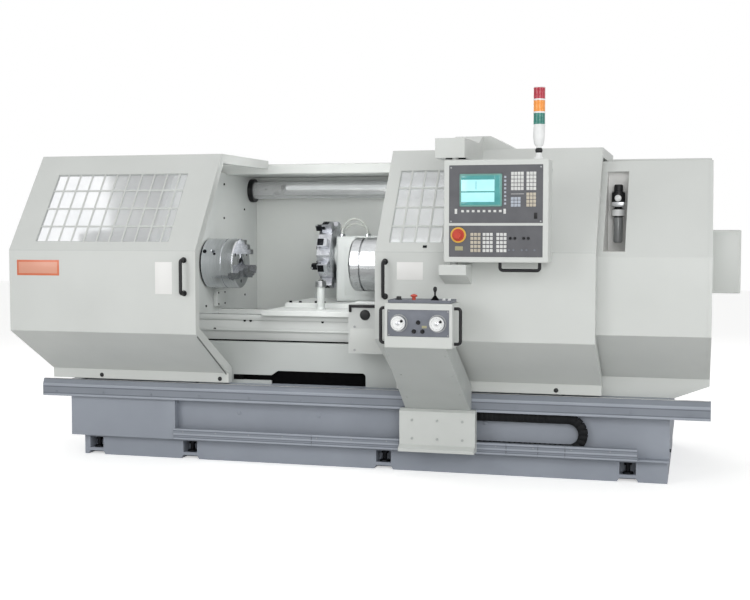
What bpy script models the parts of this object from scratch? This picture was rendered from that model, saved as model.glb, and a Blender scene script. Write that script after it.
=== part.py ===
"""CNC flat-bed lathe with sliding doors, a swivelling control panel and a sliding hand console.

Metres. X runs along the spindle axis to the right, Y from the operator to the back, Z up.
The origin lies on the floor, under the spindle axis, at the middle of the base's length.
Positions called AHEAD are distances from the spindle axis towards the operator.
"""
import math

import bmesh
import bpy
from mathutils import Matrix, Vector

# Fits
SEAT = 0.0003
SLIDE_FIT = 0.0005
PAST = 0.01

# Base
BASE_LENGTH = 3.416
BASE_AHEAD = 0.386
BASE_BEHIND = 0.95
BASE_HEIGHT = 0.33
PLINTH_LENGTH = 3.35
PLINTH_SHIFT = 0.025
PLINTH_HEIGHT = 0.119
PLINTH_SETBACK = 0.05
FOOT_NOTCH_WIDTH = 0.085
FOOT_NOTCH_HEIGHT = 0.02
FOOT_NOTCH_FLARE = 0.012
FOOT_POCKET_LIFT = 0.038
FOOT_POCKET_WIDTH = 0.085
FOOT_POCKET_HEIGHT = 0.066
FOOT_POCKET_DEPTH = 0.08
FOOT_PLACES = (-1.574, -0.98, 0.173, 1.496)
RECESS_LEFT = -1.05
RECESS_RIGHT = 1.73
RECESS_DEPTH = 0.05
RECESS_FLOOR = 0.01
TRACK_HEIGHT = 0.064
TRACK_LIFT = 0.004
TRACK_RIGHT = 1.55

# Door rail
RAIL_LENGTH = 3.788
RAIL_OFFSET = 0.017
RAIL_THICKNESS = 0.028
RAIL_FLANGE_DROP = 0.1
RAIL_FLANGE_HEIGHT = 0.068

# Sliding doors
DOOR_LENGTH = 1.10
DOOR_SKIN = 0.02
DOOR_RIM = 0.05
DOOR_RIM_LENGTH = 0.028
DOOR_AHEAD = 0.85
DOOR_STRIP_AHEAD = 0.394
DOOR_LIFT = 0.008
DOOR_STRIP_HEIGHT = 0.054
LOWER_FOLD_HEIGHT = 0.768
UPPER_FOLD_HEIGHT = 1.212
ROOF_HEIGHT = 1.74
ROOF_AHEAD = 0.472
ROOF_BEHIND = 0.28
LEFT_DOOR_PLACE = -1.266
RIGHT_DOOR_PLACE = 0.811
LEFT_WINDOW_SHIFT = -0.011
RIGHT_WINDOW_SHIFT = -0.09
WINDOW_WIDTH = 0.79
WINDOW_HEIGHT = 0.46
WINDOW_LIFT = 0.055
WINDOW_THICKNESS = 0.006
ROLLER_RADIUS = 0.024
ROLLER_WIDTH = 0.018
ROLLER_INSET = 0.2
PULL_LENGTH = 0.176
PULL_REACH = 0.045
PULL_RADIUS = 0.009
LEFT_PULL_INSET = 0.064
RIGHT_PULL_INSET = 0.054
PULL_LOW = 0.986

# Fixed enclosure
COVER_NEST = 0.07
COVER_SKIN = 0.02
COVER_EDGE = 0.006
RIGHT_COVER_LENGTH = 1.084
ENCLOSURE_RIGHT = 1.904
ENCLOSURE_LEFT = -1.82
INNER_WALL_FACE = -1.0
BACK_WALL_BEHIND = 0.83
BEAM_BEHIND = 0.30
BEAM_HEIGHT = 0.06
BEAM_DROP = 0.019
LEFT_HOUSING_BEHIND = 0.34
GUARD_HEIGHT = 0.236
GUARD_SKIN = 0.012
CHIP_MOUTH_LEFT = -0.485
CHIP_MOUTH_RIGHT = 0.068
CHIP_MOUTH_HEIGHT = 0.076
CHIP_MOUTH_CORNER = 0.02
CHIP_SLOT_LENGTH = 0.175
CHIP_RAMP_RUN = 1.5
CHIP_SLOT_LIFT = 0.02
CHIP_SLOT_HEIGHT = 0.03
COVER_CORNER_RUN = 0.174
COVER_CORNER_RISE = 0.07
END_BOX_LENGTH = 0.145
END_BOX_WIDTH = 0.40
END_BOX_LOW = 0.994
END_BOX_HEIGHT = 0.326
LAMP_RADIUS = 0.055
LAMP_RING_RADIUS = 0.075
LAMP_RING_LENGTH = 0.03
LAMP_LENGTH = 1.75
LAMP_DROP = 0.087
LAMP_BEHIND = 0.73

# Air service unit in its recess in the right cover
AIR_RECESS_LEFT = 1.388
AIR_RECESS_WIDTH = 0.105
AIR_RECESS_LIFT = 0.004
AIR_RECESS_HEIGHT = 0.40
AIR_TRAY_SKIN = 0.02
AIR_NECK_LENGTH = 0.03
AIR_UNIT_EDGE = 0.005
AIR_UNIT_LIFT = 0.04
AIR_UNIT_SETBACK = 0.04
AIR_BOWL_RADIUS = 0.022
AIR_BOWL_LENGTH = 0.13
AIR_COLLAR_RADIUS = 0.032
AIR_NECK_RADIUS = 0.018
AIR_BODY_RADIUS = 0.034
AIR_BODY_LENGTH = 0.055
AIR_KNOB_LENGTH = 0.04

# Spindle and chuck
SPINDLE_HEIGHT = 1.12
SPINDLE_BORE = 0.04
SPINDLE_NOSE_RADIUS = 0.10
CHUCK_RADIUS = 0.147
CHUCK_LENGTH = 0.20
CHUCK_BACK = 0.01
CHUCK_EDGE = 0.006
CHUCK_GROOVE = 0.003
CHUCK_GROOVE_PLACE = 0.125
KEY_SOCKET_WIDTH = 0.016
KEY_SOCKET_DEPTH = 0.03
KEY_BUSH_RADIUS = 0.017
KEY_BUSH_DEPTH = 0.003
KEY_PLACE = 0.075
FACE_SCREW_RADIUS = 0.011
FACE_SCREW_DEPTH = 0.012
FACE_SCREW_CIRCLE = 0.105
JAW_COUNT = 3
JAW_WIDTH = 0.042
JAW_SLOT_DEPTH = 0.03
JAW_TONGUE_WIDTH = 0.056
JAW_TONGUE_LOW = 0.014
JAW_TONGUE_HEIGHT = 0.009
JAW_INNER = 0.055
JAW_LENGTH = 0.085
JAW_REACH = 0.07
JAW_STEPS = 3

# Headstock
HEADSTOCK_LENGTH = 0.68
HEADSTOCK_AHEAD = 0.30
HEADSTOCK_BEHIND = 0.32
HEADSTOCK_RISE = 0.18
HEADSTOCK_EDGE = 0.02
HEADSTOCK_BORE_FIT = 0.006
HEADSTOCK_LID = 0.014
HEADSTOCK_LID_MARGIN = 0.05

# Bed
BED_RIGHT = 1.70
BED_AHEAD = 0.262
CENTRE_HEIGHT = 0.285
BED_WEB = 0.25
BED_WAY_WIDTH = 0.10
BED_WAY_DEPTH = 0.07
BED_VALLEY = 0.05

# Saddle, cross slide and turret
SADDLE_LEFT = -0.55
SADDLE_LENGTH = 0.80
SADDLE_THICKNESS = 0.027
SADDLE_AHEAD = 0.30
SADDLE_BEHIND = 0.42
APRON_LEFT = 0.02
APRON_LENGTH = 0.23
APRON_AHEAD = 0.50
APRON_LAP = 0.03
APRON_RISE = 0.09
APRON_GAP = 0.012
PROBE_PLACE = -0.255
PROBE_AHEAD = 0.12
PROBE_HEIGHT = 0.165
PROBE_RADIUS = 0.022
PROBE_CAP_RADIUS = 0.03
PROBE_CAP_HEIGHT = 0.03
CROSS_THICKNESS = 0.026
CROSS_LEFT = -0.52
CROSS_LENGTH = 0.62
CROSS_AHEAD = -0.02
CROSS_BEHIND = 0.63
TURRET_BEHIND = 0.25
TURRET_RISE = 0.05
TURRET_RADIUS = 0.16
TURRET_LEFT = -0.345
TURRET_LENGTH = 0.08
TURRET_BOSS_RADIUS = 0.07
TURRET_HOUSING_AHEAD = -0.175
TURRET_HOUSING_LENGTH = 0.345
TURRET_HOUSING_RISE = 0.16
TURRET_GAP = 0.01
TURRET_EDGE = 0.015
TURRET_WALL_RISE = 0.01
TURRET_WALL_FOOT = 0.02
TURRET_HUB_RADIUS = 0.06
TURRET_HUB_REACH = 0.012
TURRET_WALL_BEHIND = 0.52
TOOL_STATIONS = 8
TOOL_BLOCK_WIDTH = 0.05
TOOL_BLOCK_LENGTH = 0.06
TOOL_BLOCK_HEIGHT = 0.045
TOOL_SLOT_HEIGHT = 0.02
TOOL_SLOT_DEPTH = 0.022
TOOL_SLOT_LIFT = 0.012
HOSE_RADIUS = 0.007
HOSE_RISES = (0.09, 0.06)
HOSE_REACH = 0.16
HOSE_START = 0.03
HOSE_SPACING = 0.03

# Tailstock
TAILSTOCK_FOOT_LEFT = 0.42
TAILSTOCK_FOOT_LENGTH = 0.50
TAILSTOCK_HALF_WIDTH = 0.23
TAILSTOCK_FOOT_HEIGHT = 0.10
BARREL_LEFT = -0.085
BARREL_RADIUS = 0.155
BARREL_EDGE = 0.012
BARREL_BAND = 0.06
BARREL_BORE = 0.03
TAILSTOCK_BODY_LEFT = 0.14
TAILSTOCK_WAIST = 0.12

# Control panel, swivelling on the right door
PANEL_AXIS_X = 0.69
PANEL_AXIS_SETBACK = 0.07
PANEL_LEFT = 0.652
PANEL_WIDTH = 0.502
PANEL_LOW = 1.166
PANEL_HEIGHT = 0.49
PANEL_DEPTH = 0.14
PANEL_GAP = 0.04
PANEL_BORDER = 0.026
PANEL_SPLIT = 0.308
PANEL_INLAY = 0.006
PANEL_BAR = 0.012
PANEL_SINK = 0.001
SCREEN_INSET = 0.052
SCREEN_DROP = 0.042
SCREEN_PROUD = 0.004
STOP_INSET = 0.046
STOP_DROP = 0.045
PANEL_HANDLE_LENGTH = 0.19
PANEL_HANDLE_REACH = 0.038
PANEL_HANDLE_INSET = 0.045
HANDLE_RADIUS = 0.008
HANDLE_BEND = 0.014
PIVOT_RADIUS = 0.02
PIVOT_LENGTH = 0.012
ARM_LEFT = 0.60
ARM_WIDTH = 0.145
ARM_HEIGHT = 0.0955
ARM_NOSE = 0.03
ARM_FLAT = 0.60
HUMP_RISE = 0.068
HUMP_LEFT = 0.64
HUMP_FLAT = (0.665, 0.785)
HUMP_RIGHT = 0.911
HUMP_AHEAD = 0.10
BRACKET_WIDTH = 0.134
BRACKET_HEIGHT = 0.10
SCREEN_WIDTH = 0.204
SCREEN_HEIGHT = 0.155
STOP_RING_RADIUS = 0.03
STOP_CAP_RADIUS = 0.02
STOP_DEPTH = 0.036
LAMP_STACK_RADIUS = 0.029
LAMP_STACK_X = 1.098
LAMP_STACK_BASE = 0.105
LAMP_STACK_LENS = 0.057
LAMP_STACK_STEM = 0.065
LAMP_STACK_FOOT = 0.022

# Hand console on the lower track
CONSOLE_PLACE = 0.52
CONSOLE_BOX_OFFSET = 0.027
CONSOLE_BOX_WIDTH = 0.334
CONSOLE_BOX_LOW = 0.755
CONSOLE_BOX_HEIGHT = 0.215
CONSOLE_BOX_DEPTH = 0.19
CONSOLE_CLEARANCE = 0.08
CONSOLE_FACE_INSET = 0.015
CONSOLE_FACE_LOW = 0.055
CONSOLE_FACE_DROP = 0.03
CONSOLE_FACE_DEPTH = 0.006
CONSOLE_TRAY_HEIGHT = 0.012
CONSOLE_TRAY_INSET = 0.012
FOOT_PLATE_SHIFT = 0.018
COLUMN_SETBACK = 0.02
CONSOLE_COLUMN_LEFT = 0.195
CONSOLE_COLUMN_RIGHT = 0.16
CONSOLE_COLUMN_TAPER = 0.045
CONSOLE_DOOR_GAP = 0.03
FOOT_PLATE_WIDTH = 0.412
FOOT_PLATE_THICKNESS = 0.055
FOOT_PLATE_LOW = 0.135
FOOT_PLATE_TOP = 0.362
FOOT_LIP_HEIGHT = 0.035
FOOT_LIP_REACH = 0.03
HANDWHEEL_RADIUS = 0.035
HANDWHEEL_DEPTH = 0.036
HANDWHEEL_HUB = 0.012
HANDWHEEL_GAP = 0.005
HANDWHEEL_SPACING = 0.19
SIDE_HANDLE_REACH = 0.03
SIDE_HANDLE_LENGTH = 0.17
SIDE_HANDLE_SETBACK = 0.05
SIDE_HANDLE_LOW = 0.02

# Cable chain
CHAIN_THICKNESS = 0.05
CHAIN_BEND = 0.055
CHAIN_LIFT = 0.008
CHAIN_WIDTH = 0.042
CHAIN_PITCH = 0.085
CHAIN_PLATE = 0.004
CHAIN_PLATE_REACH = 0.9
CHAIN_PLATE_ROUNDING = 0.5
CHAIN_PLATE_LAP = 0.0004
CHAIN_BAR_LENGTH = 0.034
CHAIN_BAR_THICKNESS = 0.006
CHAIN_RIGHT = 1.285
CHAIN_LEFT = 0.438

# Worked out from the sizes above
BASE_BOTTOM = PLINTH_HEIGHT + SEAT
BASE_TOP = BASE_BOTTOM + BASE_HEIGHT
FLOOR_OF_COVERS = BASE_TOP + SEAT
RAIL_FRONT = -BASE_AHEAD - SEAT - RAIL_THICKNESS
DOOR_BOTTOM = BASE_TOP + DOOR_LIFT
BEAM_TOP = ROOF_HEIGHT - BEAM_DROP
BEAM_BOTTOM = BEAM_TOP - BEAM_HEIGHT
LAMP_HEIGHT = BEAM_BOTTOM - LAMP_DROP
AIR_RECESS_LOW = UPPER_FOLD_HEIGHT + AIR_RECESS_LIFT
PANEL_AHEAD = DOOR_AHEAD + PANEL_GAP + PANEL_DEPTH
PANEL_AXIS_AHEAD = PANEL_AHEAD - PANEL_AXIS_SETBACK
CONSOLE_AHEAD = DOOR_AHEAD + CONSOLE_CLEARANCE + CONSOLE_BOX_DEPTH
BED_TOP = SPINDLE_HEIGHT - CENTRE_HEIGHT
HEADSTOCK_TOP = SPINDLE_HEIGHT + HEADSTOCK_RISE
TURRET_HEIGHT = SPINDLE_HEIGHT + TURRET_RISE
TURRET_HOUSING_TOP = SPINDLE_HEIGHT + TURRET_HOUSING_RISE
APRON_LOW = FLOOR_OF_COVERS + GUARD_HEIGHT - APRON_LAP
APRON_TOP = BED_TOP + APRON_RISE
SADDLE_BOTTOM = BED_TOP + SEAT
SADDLE_TOP = SADDLE_BOTTOM + SADDLE_THICKNESS
CROSS_BOTTOM = SADDLE_TOP + SEAT
CROSS_TOP = CROSS_BOTTOM + CROSS_THICKNESS
CHUCK_LEFT = INNER_WALL_FACE + CHUCK_BACK
CHUCK_FACE = CHUCK_LEFT + CHUCK_LENGTH

PAINT_LIGHT = ((0.64, 0.64, 0.63), 0.45, 0.0)
PAINT_SHADE = ((0.44, 0.46, 0.47), 0.5, 0.0)
PAINT_BASE = ((0.31, 0.34, 0.38), 0.5, 0.0)
STEEL = ((0.62, 0.62, 0.63), 0.25, 1.0)
CHROME = ((0.78, 0.78, 0.79), 0.12, 1.0)
BLACK = ((0.02, 0.02, 0.022), 0.5, 0.0)
PANEL_GREY = ((0.13, 0.135, 0.145), 0.55, 0.0)
CONSOLE_GREY = ((0.24, 0.26, 0.30), 0.5, 0.0)
GLAZING = ((0.75, 0.82, 0.85), 0.05, 0.0)
SCREEN_TEAL = ((0.20, 0.62, 0.66), 0.2, 0.0)
RED = ((0.62, 0.05, 0.03), 0.35, 0.0)
AMBER = ((0.85, 0.30, 0.04), 0.3, 0.0)
GREEN = ((0.02, 0.30, 0.22), 0.3, 0.0)
WHITE = ((0.80, 0.80, 0.78), 0.4, 0.0)

LATHE = None
CUTTERS = None


def start_scene():
    """Empties the scene and makes the two collections."""
    global LATHE, CUTTERS
    for old in list(bpy.data.objects):
        bpy.data.objects.remove(old, do_unlink=True)
    LATHE = bpy.data.collections.new("cnc_lathe")
    CUTTERS = bpy.data.collections.new("cutters")
    bpy.context.scene.collection.children.link(LATHE)
    bpy.context.scene.collection.children.link(CUTTERS)


def paint(obj, look):
    """Gives an object its own material from (colour, roughness, metallic)."""
    colour, roughness, metallic = look
    material = bpy.data.materials.new(obj.name)
    material.use_nodes = True
    shader = material.node_tree.nodes["Principled BSDF"]
    shader.inputs["Base Color"].default_value = (*colour, 1.0)
    shader.inputs["Roughness"].default_value = roughness
    shader.inputs["Metallic"].default_value = metallic
    obj.data.materials.clear()
    obj.data.materials.append(material)


def file_away(obj, name, look):
    """Puts an object in the lathe, or among the cutters when it has no look."""
    obj.name = name
    obj.data.name = name
    for owner in list(obj.users_collection):
        owner.objects.unlink(obj)
    if look is None:
        CUTTERS.objects.link(obj)
        obj.hide_render = True
        obj.display_type = "WIRE"
    else:
        LATHE.objects.link(obj)
        paint(obj, look)
    return obj


def apply_scale(obj):
    """Moves an object's scale into its mesh."""
    obj.data.transform(Matrix.Diagonal((*obj.scale, 1.0)))
    obj.scale = (1.0, 1.0, 1.0)


def bevel(obj, width, segments=2):
    """Rounds the sharp edges of an object."""
    rounding = obj.modifiers.new("rounded edges", "BEVEL")
    rounding.width = width
    rounding.segments = segments
    rounding.limit_method = "ANGLE"
    rounding.harden_normals = False
    return obj


def box(name, low, high, look, rounded=0.0):
    """A block between two corners."""
    bpy.ops.mesh.primitive_cube_add(size=1.0)
    obj = bpy.context.object
    obj.location = [(a + b) / 2 for a, b in zip(low, high)]
    obj.scale = [b - a for a, b in zip(low, high)]
    apply_scale(obj)
    file_away(obj, name, look)
    if rounded:
        bevel(obj, rounded)
    return obj


def cylinder(name, radius, centre, length, axis, look, sides=32):
    """A round bar about a centre point."""
    bpy.ops.mesh.primitive_cylinder_add(vertices=sides, radius=radius, depth=length)
    obj = bpy.context.object
    obj.location = centre
    obj.rotation_euler = {"X": (0, math.pi / 2, 0), "Y": (math.pi / 2, 0, 0), "Z": (0, 0, 0)}[axis]
    return file_away(obj, name, look)


def turned(name, profile, centre, axis, look, sides=32):
    """A turned shape from (distance along the axis, radius) pairs that start and end on the axis."""
    mesh = bpy.data.meshes.new(name)
    points = [(radius, 0.0, along) for along, radius in profile[::-1]]
    mesh.from_pydata(points, [(i, i + 1) for i in range(len(points) - 1)], [])
    obj = bpy.data.objects.new(name, mesh)
    obj.location = centre
    obj.rotation_euler = {"X": (0, math.pi / 2, 0), "Y": (-math.pi / 2, 0, 0), "Z": (0, 0, 0)}[axis]
    spin = obj.modifiers.new("turned", "SCREW")
    spin.steps = sides
    spin.render_steps = sides
    spin.use_merge_vertices = True
    spin.merge_threshold = 0.00001
    return file_away(obj, name, look)


def as_mesh(curve_object, look):
    """Turns a filled curve into a welded mesh object at the same place."""
    name = curve_object.name
    bpy.context.view_layer.update()
    evaluated = curve_object.evaluated_get(bpy.context.evaluated_depsgraph_get())
    mesh = bpy.data.meshes.new_from_object(evaluated)
    shape = bmesh.new()
    shape.from_mesh(mesh)
    bmesh.ops.remove_doubles(shape, verts=shape.verts, dist=0.00001)
    bmesh.ops.recalc_face_normals(shape, faces=shape.faces)
    shape.to_mesh(mesh)
    shape.free()
    solid = bpy.data.objects.new(name + "_solid", mesh)
    solid.matrix_world = curve_object.matrix_world
    bpy.data.objects.remove(curve_object, do_unlink=True)
    return file_away(solid, name, look)


def prism(name, outline, start, end, axis, look):
    """A flat outline drawn out along an axis.

    Along X the outline is given in (Y, Z), along Y in (X, Z) and along Z in (X, Y).
    """
    curve = bpy.data.curves.new(name, "CURVE")
    curve.dimensions = "2D"
    curve.fill_mode = "BOTH"
    curve.extrude = (end - start) / 2
    spline = curve.splines.new("POLY")
    spline.points.add(len(outline) - 1)
    for point, place in zip(spline.points, outline):
        point.co = (place[0], place[1], 0.0, 1.0)
    spline.use_cyclic_u = True
    obj = bpy.data.objects.new(name, curve)
    CUTTERS.objects.link(obj)
    middle = (start + end) / 2
    if axis == "X":
        obj.location = (middle, 0, 0)
        obj.rotation_euler = (math.pi / 2, 0, math.pi / 2)
    elif axis == "Y":
        obj.location = (0, middle, 0)
        obj.rotation_euler = (math.pi / 2, 0, 0)
    else:
        obj.location = (0, 0, middle)
    return as_mesh(obj, look)


def tube(name, points, radius, look, resolution=3):
    """A round bar bent through a list of points."""
    curve = bpy.data.curves.new(name, "CURVE")
    curve.dimensions = "3D"
    curve.bevel_depth = radius
    curve.bevel_resolution = resolution
    curve.use_fill_caps = True
    spline = curve.splines.new("POLY")
    spline.points.add(len(points) - 1)
    for point, place in zip(spline.points, points):
        point.co = (*place, 1.0)
    obj = bpy.data.objects.new(name, curve)
    CUTTERS.objects.link(obj)
    return as_mesh(obj, look)


def rounded_path(corners, radius, steps=4):
    """The points of a bent bar: straight runs with an arc at each inner corner."""
    corners = [Vector(corner) for corner in corners]
    points = [corners[0]]
    for before, corner, after in zip(corners, corners[1:], corners[2:]):
        back = (before - corner).normalized()
        forth = (after - corner).normalized()
        half = back.angle(forth) / 2
        reach = radius / math.tan(half)
        centre = corner + (back + forth).normalized() * (radius / math.sin(half))
        first = (corner + back * reach - centre).normalized()
        last = (corner + forth * reach - centre).normalized()
        for step in range(steps + 1):
            points.append(centre + first.slerp(last, step / steps) * radius)
    points.append(corners[-1])
    return points


def boolean(obj, other, operation):
    """Cuts another object from this one, or joins it on."""
    step = obj.modifiers.new(other.name, "BOOLEAN")
    step.object = other
    step.operation = operation
    step.solver = "EXACT"


def cut(obj, cutter):
    """Cuts a shape away."""
    boolean(obj, cutter, "DIFFERENCE")


def unite(obj, other):
    """Joins a shape on."""
    boolean(obj, other, "UNION")


def moved_line(start, end, shift):
    """A line through two points, moved to its right side by a distance."""
    along = (end[0] - start[0], end[1] - start[1])
    length = math.hypot(*along)
    normal = (along[1] / length, -along[0] / length)
    return ((start[0] + normal[0] * shift, start[1] + normal[1] * shift), along)


def crossing(first, second):
    """The point where two lines cross."""
    (ax, ay), (ux, uy) = first
    (bx, by), (vx, vy) = second
    scale = ((bx - ax) * vy - (by - ay) * vx) / (ux * vy - uy * vx)
    return (ax + ux * scale, ay + uy * scale)


def door_outline(inset, bottom, behind=ROOF_BEHIND):
    """The doors' section in (Y, Z) from the strip's foot to the roof's rear edge, moved inwards."""
    corners = [
        (-DOOR_STRIP_AHEAD, DOOR_BOTTOM),
        (-DOOR_STRIP_AHEAD, DOOR_BOTTOM + DOOR_STRIP_HEIGHT),
        (-DOOR_AHEAD, LOWER_FOLD_HEIGHT),
        (-DOOR_AHEAD, UPPER_FOLD_HEIGHT),
        (-ROOF_AHEAD, ROOF_HEIGHT),
        (ROOF_BEHIND, ROOF_HEIGHT),
    ]
    lines = [moved_line(a, b, inset) for a, b in zip(corners, corners[1:])]
    inner = [crossing(a, b) for a, b in zip(lines, lines[1:])]
    return [(lines[0][0][0], bottom), *inner, (behind, ROOF_HEIGHT - inset)]


def shell_outline(outer, thickness, bottom, behind):
    """A closed outline of the doors' section between two depths."""
    return door_outline(outer, bottom, behind) + door_outline(outer + thickness, bottom, behind)[::-1]


def build_base():
    """Plinth, upper base casting, door rail and the console's lower track."""
    left = PLINTH_SHIFT - PLINTH_LENGTH / 2
    front = -BASE_AHEAD + PLINTH_SETBACK
    back = BASE_BEHIND - PLINTH_SETBACK
    plinth = box("plinth", (left, front, 0), (left + PLINTH_LENGTH, back, PLINTH_HEIGHT), PAINT_BASE)
    for number, place in enumerate(FOOT_PLACES):
        pocket = box(f"foot_pocket_{number}",
                     (place - FOOT_POCKET_WIDTH / 2, front - PAST, FOOT_POCKET_LIFT),
                     (place + FOOT_POCKET_WIDTH / 2, front + FOOT_POCKET_DEPTH,
                      FOOT_POCKET_LIFT + FOOT_POCKET_HEIGHT), None)
        cut(plinth, pocket)
        narrow = FOOT_NOTCH_WIDTH / 2
        wide = narrow + FOOT_NOTCH_FLARE
        outline = [(place - wide, -PAST), (place + wide, -PAST), (place + wide, 0),
                   (place + narrow, FOOT_NOTCH_HEIGHT), (place - narrow, FOOT_NOTCH_HEIGHT),
                   (place - wide, 0)]
        notch = prism(f"floor_notch_{number}", outline, front - PAST, front + FOOT_POCKET_DEPTH, "Y", None)
        cut(plinth, notch)

    half = BASE_LENGTH / 2
    base = box("base_casting", (-half, -BASE_AHEAD, BASE_BOTTOM), (half, BASE_BEHIND, BASE_TOP),
               PAINT_BASE)
    rail_foot = BASE_TOP - RAIL_FLANGE_DROP
    recess = box("cable_recess", (RECESS_LEFT, -BASE_AHEAD - PAST, BASE_BOTTOM + RECESS_FLOOR),
                 (RECESS_RIGHT, -BASE_AHEAD + RECESS_DEPTH, rail_foot), None)
    cut(base, recess)

    flange_top = rail_foot + RAIL_FLANGE_HEIGHT
    back = -BASE_AHEAD - SEAT
    section = [(RAIL_FRONT, rail_foot), (RAIL_FRONT, flange_top),
               (RAIL_FRONT + RAIL_THICKNESS / 2, BASE_TOP), (back, BASE_TOP), (back, rail_foot)]
    prism("door_rail", section, RAIL_OFFSET - RAIL_LENGTH / 2, RAIL_OFFSET + RAIL_LENGTH / 2, "X",
          PAINT_BASE)
    low = BASE_BOTTOM + TRACK_LIFT
    box("console_track", (RECESS_LEFT, RAIL_FRONT, low), (TRACK_RIGHT, back, low + TRACK_HEIGHT),
        PAINT_BASE, 0.004)


def build_cable_chain():
    """The console's cable chain: plated links with crossbars, lying in the base's recess as one loop."""
    middle = CHAIN_BEND + CHAIN_THICKNESS / 2
    low = BASE_BOTTOM + RECESS_FLOOR + CHAIN_LIFT + CHAIN_THICKNESS / 2
    bend_x = CHAIN_RIGHT - CHAIN_BEND - CHAIN_THICKNESS
    run = bend_x - CHAIN_LEFT
    length = 2 * run + math.pi * middle
    count = round(length / CHAIN_PITCH)
    back = -BASE_AHEAD + RECESS_DEPTH - SEAT
    links = bpy.data.collections.new("chain_links")
    CUTTERS.children.link(links)
    chain = None
    for number in range(count):
        travelled = (number + 0.5) * length / count
        turn = min(max((travelled - run) / middle, 0), math.pi)
        straight = travelled if turn == 0 else run - max(travelled - run - math.pi * middle, 0)
        place = Matrix.Translation((CHAIN_LEFT + straight, 0, low + middle)) @ Matrix.Rotation(turn, 4, "Y")
        place = place @ Matrix.Translation((0, 0, middle))
        for shape in chain_link(number, length / count, back):
            shape.data.transform(place @ shape.matrix_basis)
            shape.matrix_basis = Matrix.Identity(4)
            if chain is None:
                chain = file_away(shape, "cable_chain", BLACK)
                chain.hide_render = False
                chain.display_type = "TEXTURED"
            else:
                CUTTERS.objects.unlink(shape)
                links.objects.link(shape)
    step = chain.modifiers.new("links", "BOOLEAN")
    step.operand_type = "COLLECTION"
    step.collection = links
    step.operation = "UNION"
    step.solver = "EXACT"


def chain_link(number, pitch, back):
    """One link, lying along X at the origin: two round-ended side plates and two crossbars."""
    radius = CHAIN_THICKNESS / 2
    reach = pitch / 2 * CHAIN_PLATE_REACH
    rounding = radius * CHAIN_PLATE_ROUNDING
    arc = [math.radians(angle) for angle in (-90, -30, 30, 90)]
    outline = [(reach + rounding * math.cos(a), radius * math.sin(a)) for a in arc]
    outline += [(-x, -z) for x, z in outline]
    front = back - CHAIN_WIDTH
    inwards = CHAIN_PLATE * (number % 2)
    thick = CHAIN_PLATE + CHAIN_PLATE_LAP
    plates = [(front + inwards, front + inwards + thick), (back - inwards - thick, back - inwards)]
    shapes = [prism(f"link_{number}_plate_{i}", outline, *span, "Y", None) for i, span in enumerate(plates)]
    for side in (-1, 1):
        outer = side * (radius - SEAT)
        inner = side * (radius - CHAIN_BAR_THICKNESS)
        low, high = sorted((outer, inner))
        shapes.append(box(f"link_{number}_bar_{side}",
                          (-CHAIN_BAR_LENGTH / 2, front + CHAIN_PLATE / 2, low),
                          (CHAIN_BAR_LENGTH / 2, back - CHAIN_PLATE / 2, high), None))
    return shapes


def build_bed():
    """The bed casting with its two ways."""
    left = INNER_WALL_FACE + SEAT
    shoulder = BED_TOP - BED_WAY_DEPTH
    inner = BED_AHEAD - BED_WAY_WIDTH
    half = [
        (BED_WEB, FLOOR_OF_COVERS),
        (BED_WEB, shoulder - BED_WAY_WIDTH),
        (BED_AHEAD, shoulder),
        (BED_AHEAD, BED_TOP),
        (inner, BED_TOP),
        (inner, BED_TOP - BED_VALLEY),
    ]
    section = [(-y, z) for y, z in half] + half[::-1]
    prism("bed", section, left, BED_RIGHT, "X", PAINT_LIGHT)


def build_headstock():
    """The headstock casting with the spindle's bore."""
    right = INNER_WALL_FACE - COVER_SKIN - SEAT
    left = right - HEADSTOCK_LENGTH
    headstock = box("headstock", (left, -HEADSTOCK_AHEAD, FLOOR_OF_COVERS),
                    (right, HEADSTOCK_BEHIND, HEADSTOCK_TOP), PAINT_SHADE, HEADSTOCK_EDGE)
    margin = HEADSTOCK_LID_MARGIN
    lid = box("headstock_lid", (left + margin, -HEADSTOCK_AHEAD + margin, HEADSTOCK_TOP - PAST),
              (right - margin, HEADSTOCK_BEHIND - margin, HEADSTOCK_TOP + HEADSTOCK_LID), None,
              HEADSTOCK_LID / 3)
    unite(headstock, lid)
    bore = cylinder("headstock_bore", SPINDLE_BORE + HEADSTOCK_BORE_FIT,
                    (left + HEADSTOCK_LENGTH / 2, 0, SPINDLE_HEIGHT), HEADSTOCK_LENGTH + 2 * PAST, "X", None)
    cut(headstock, bore)


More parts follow.
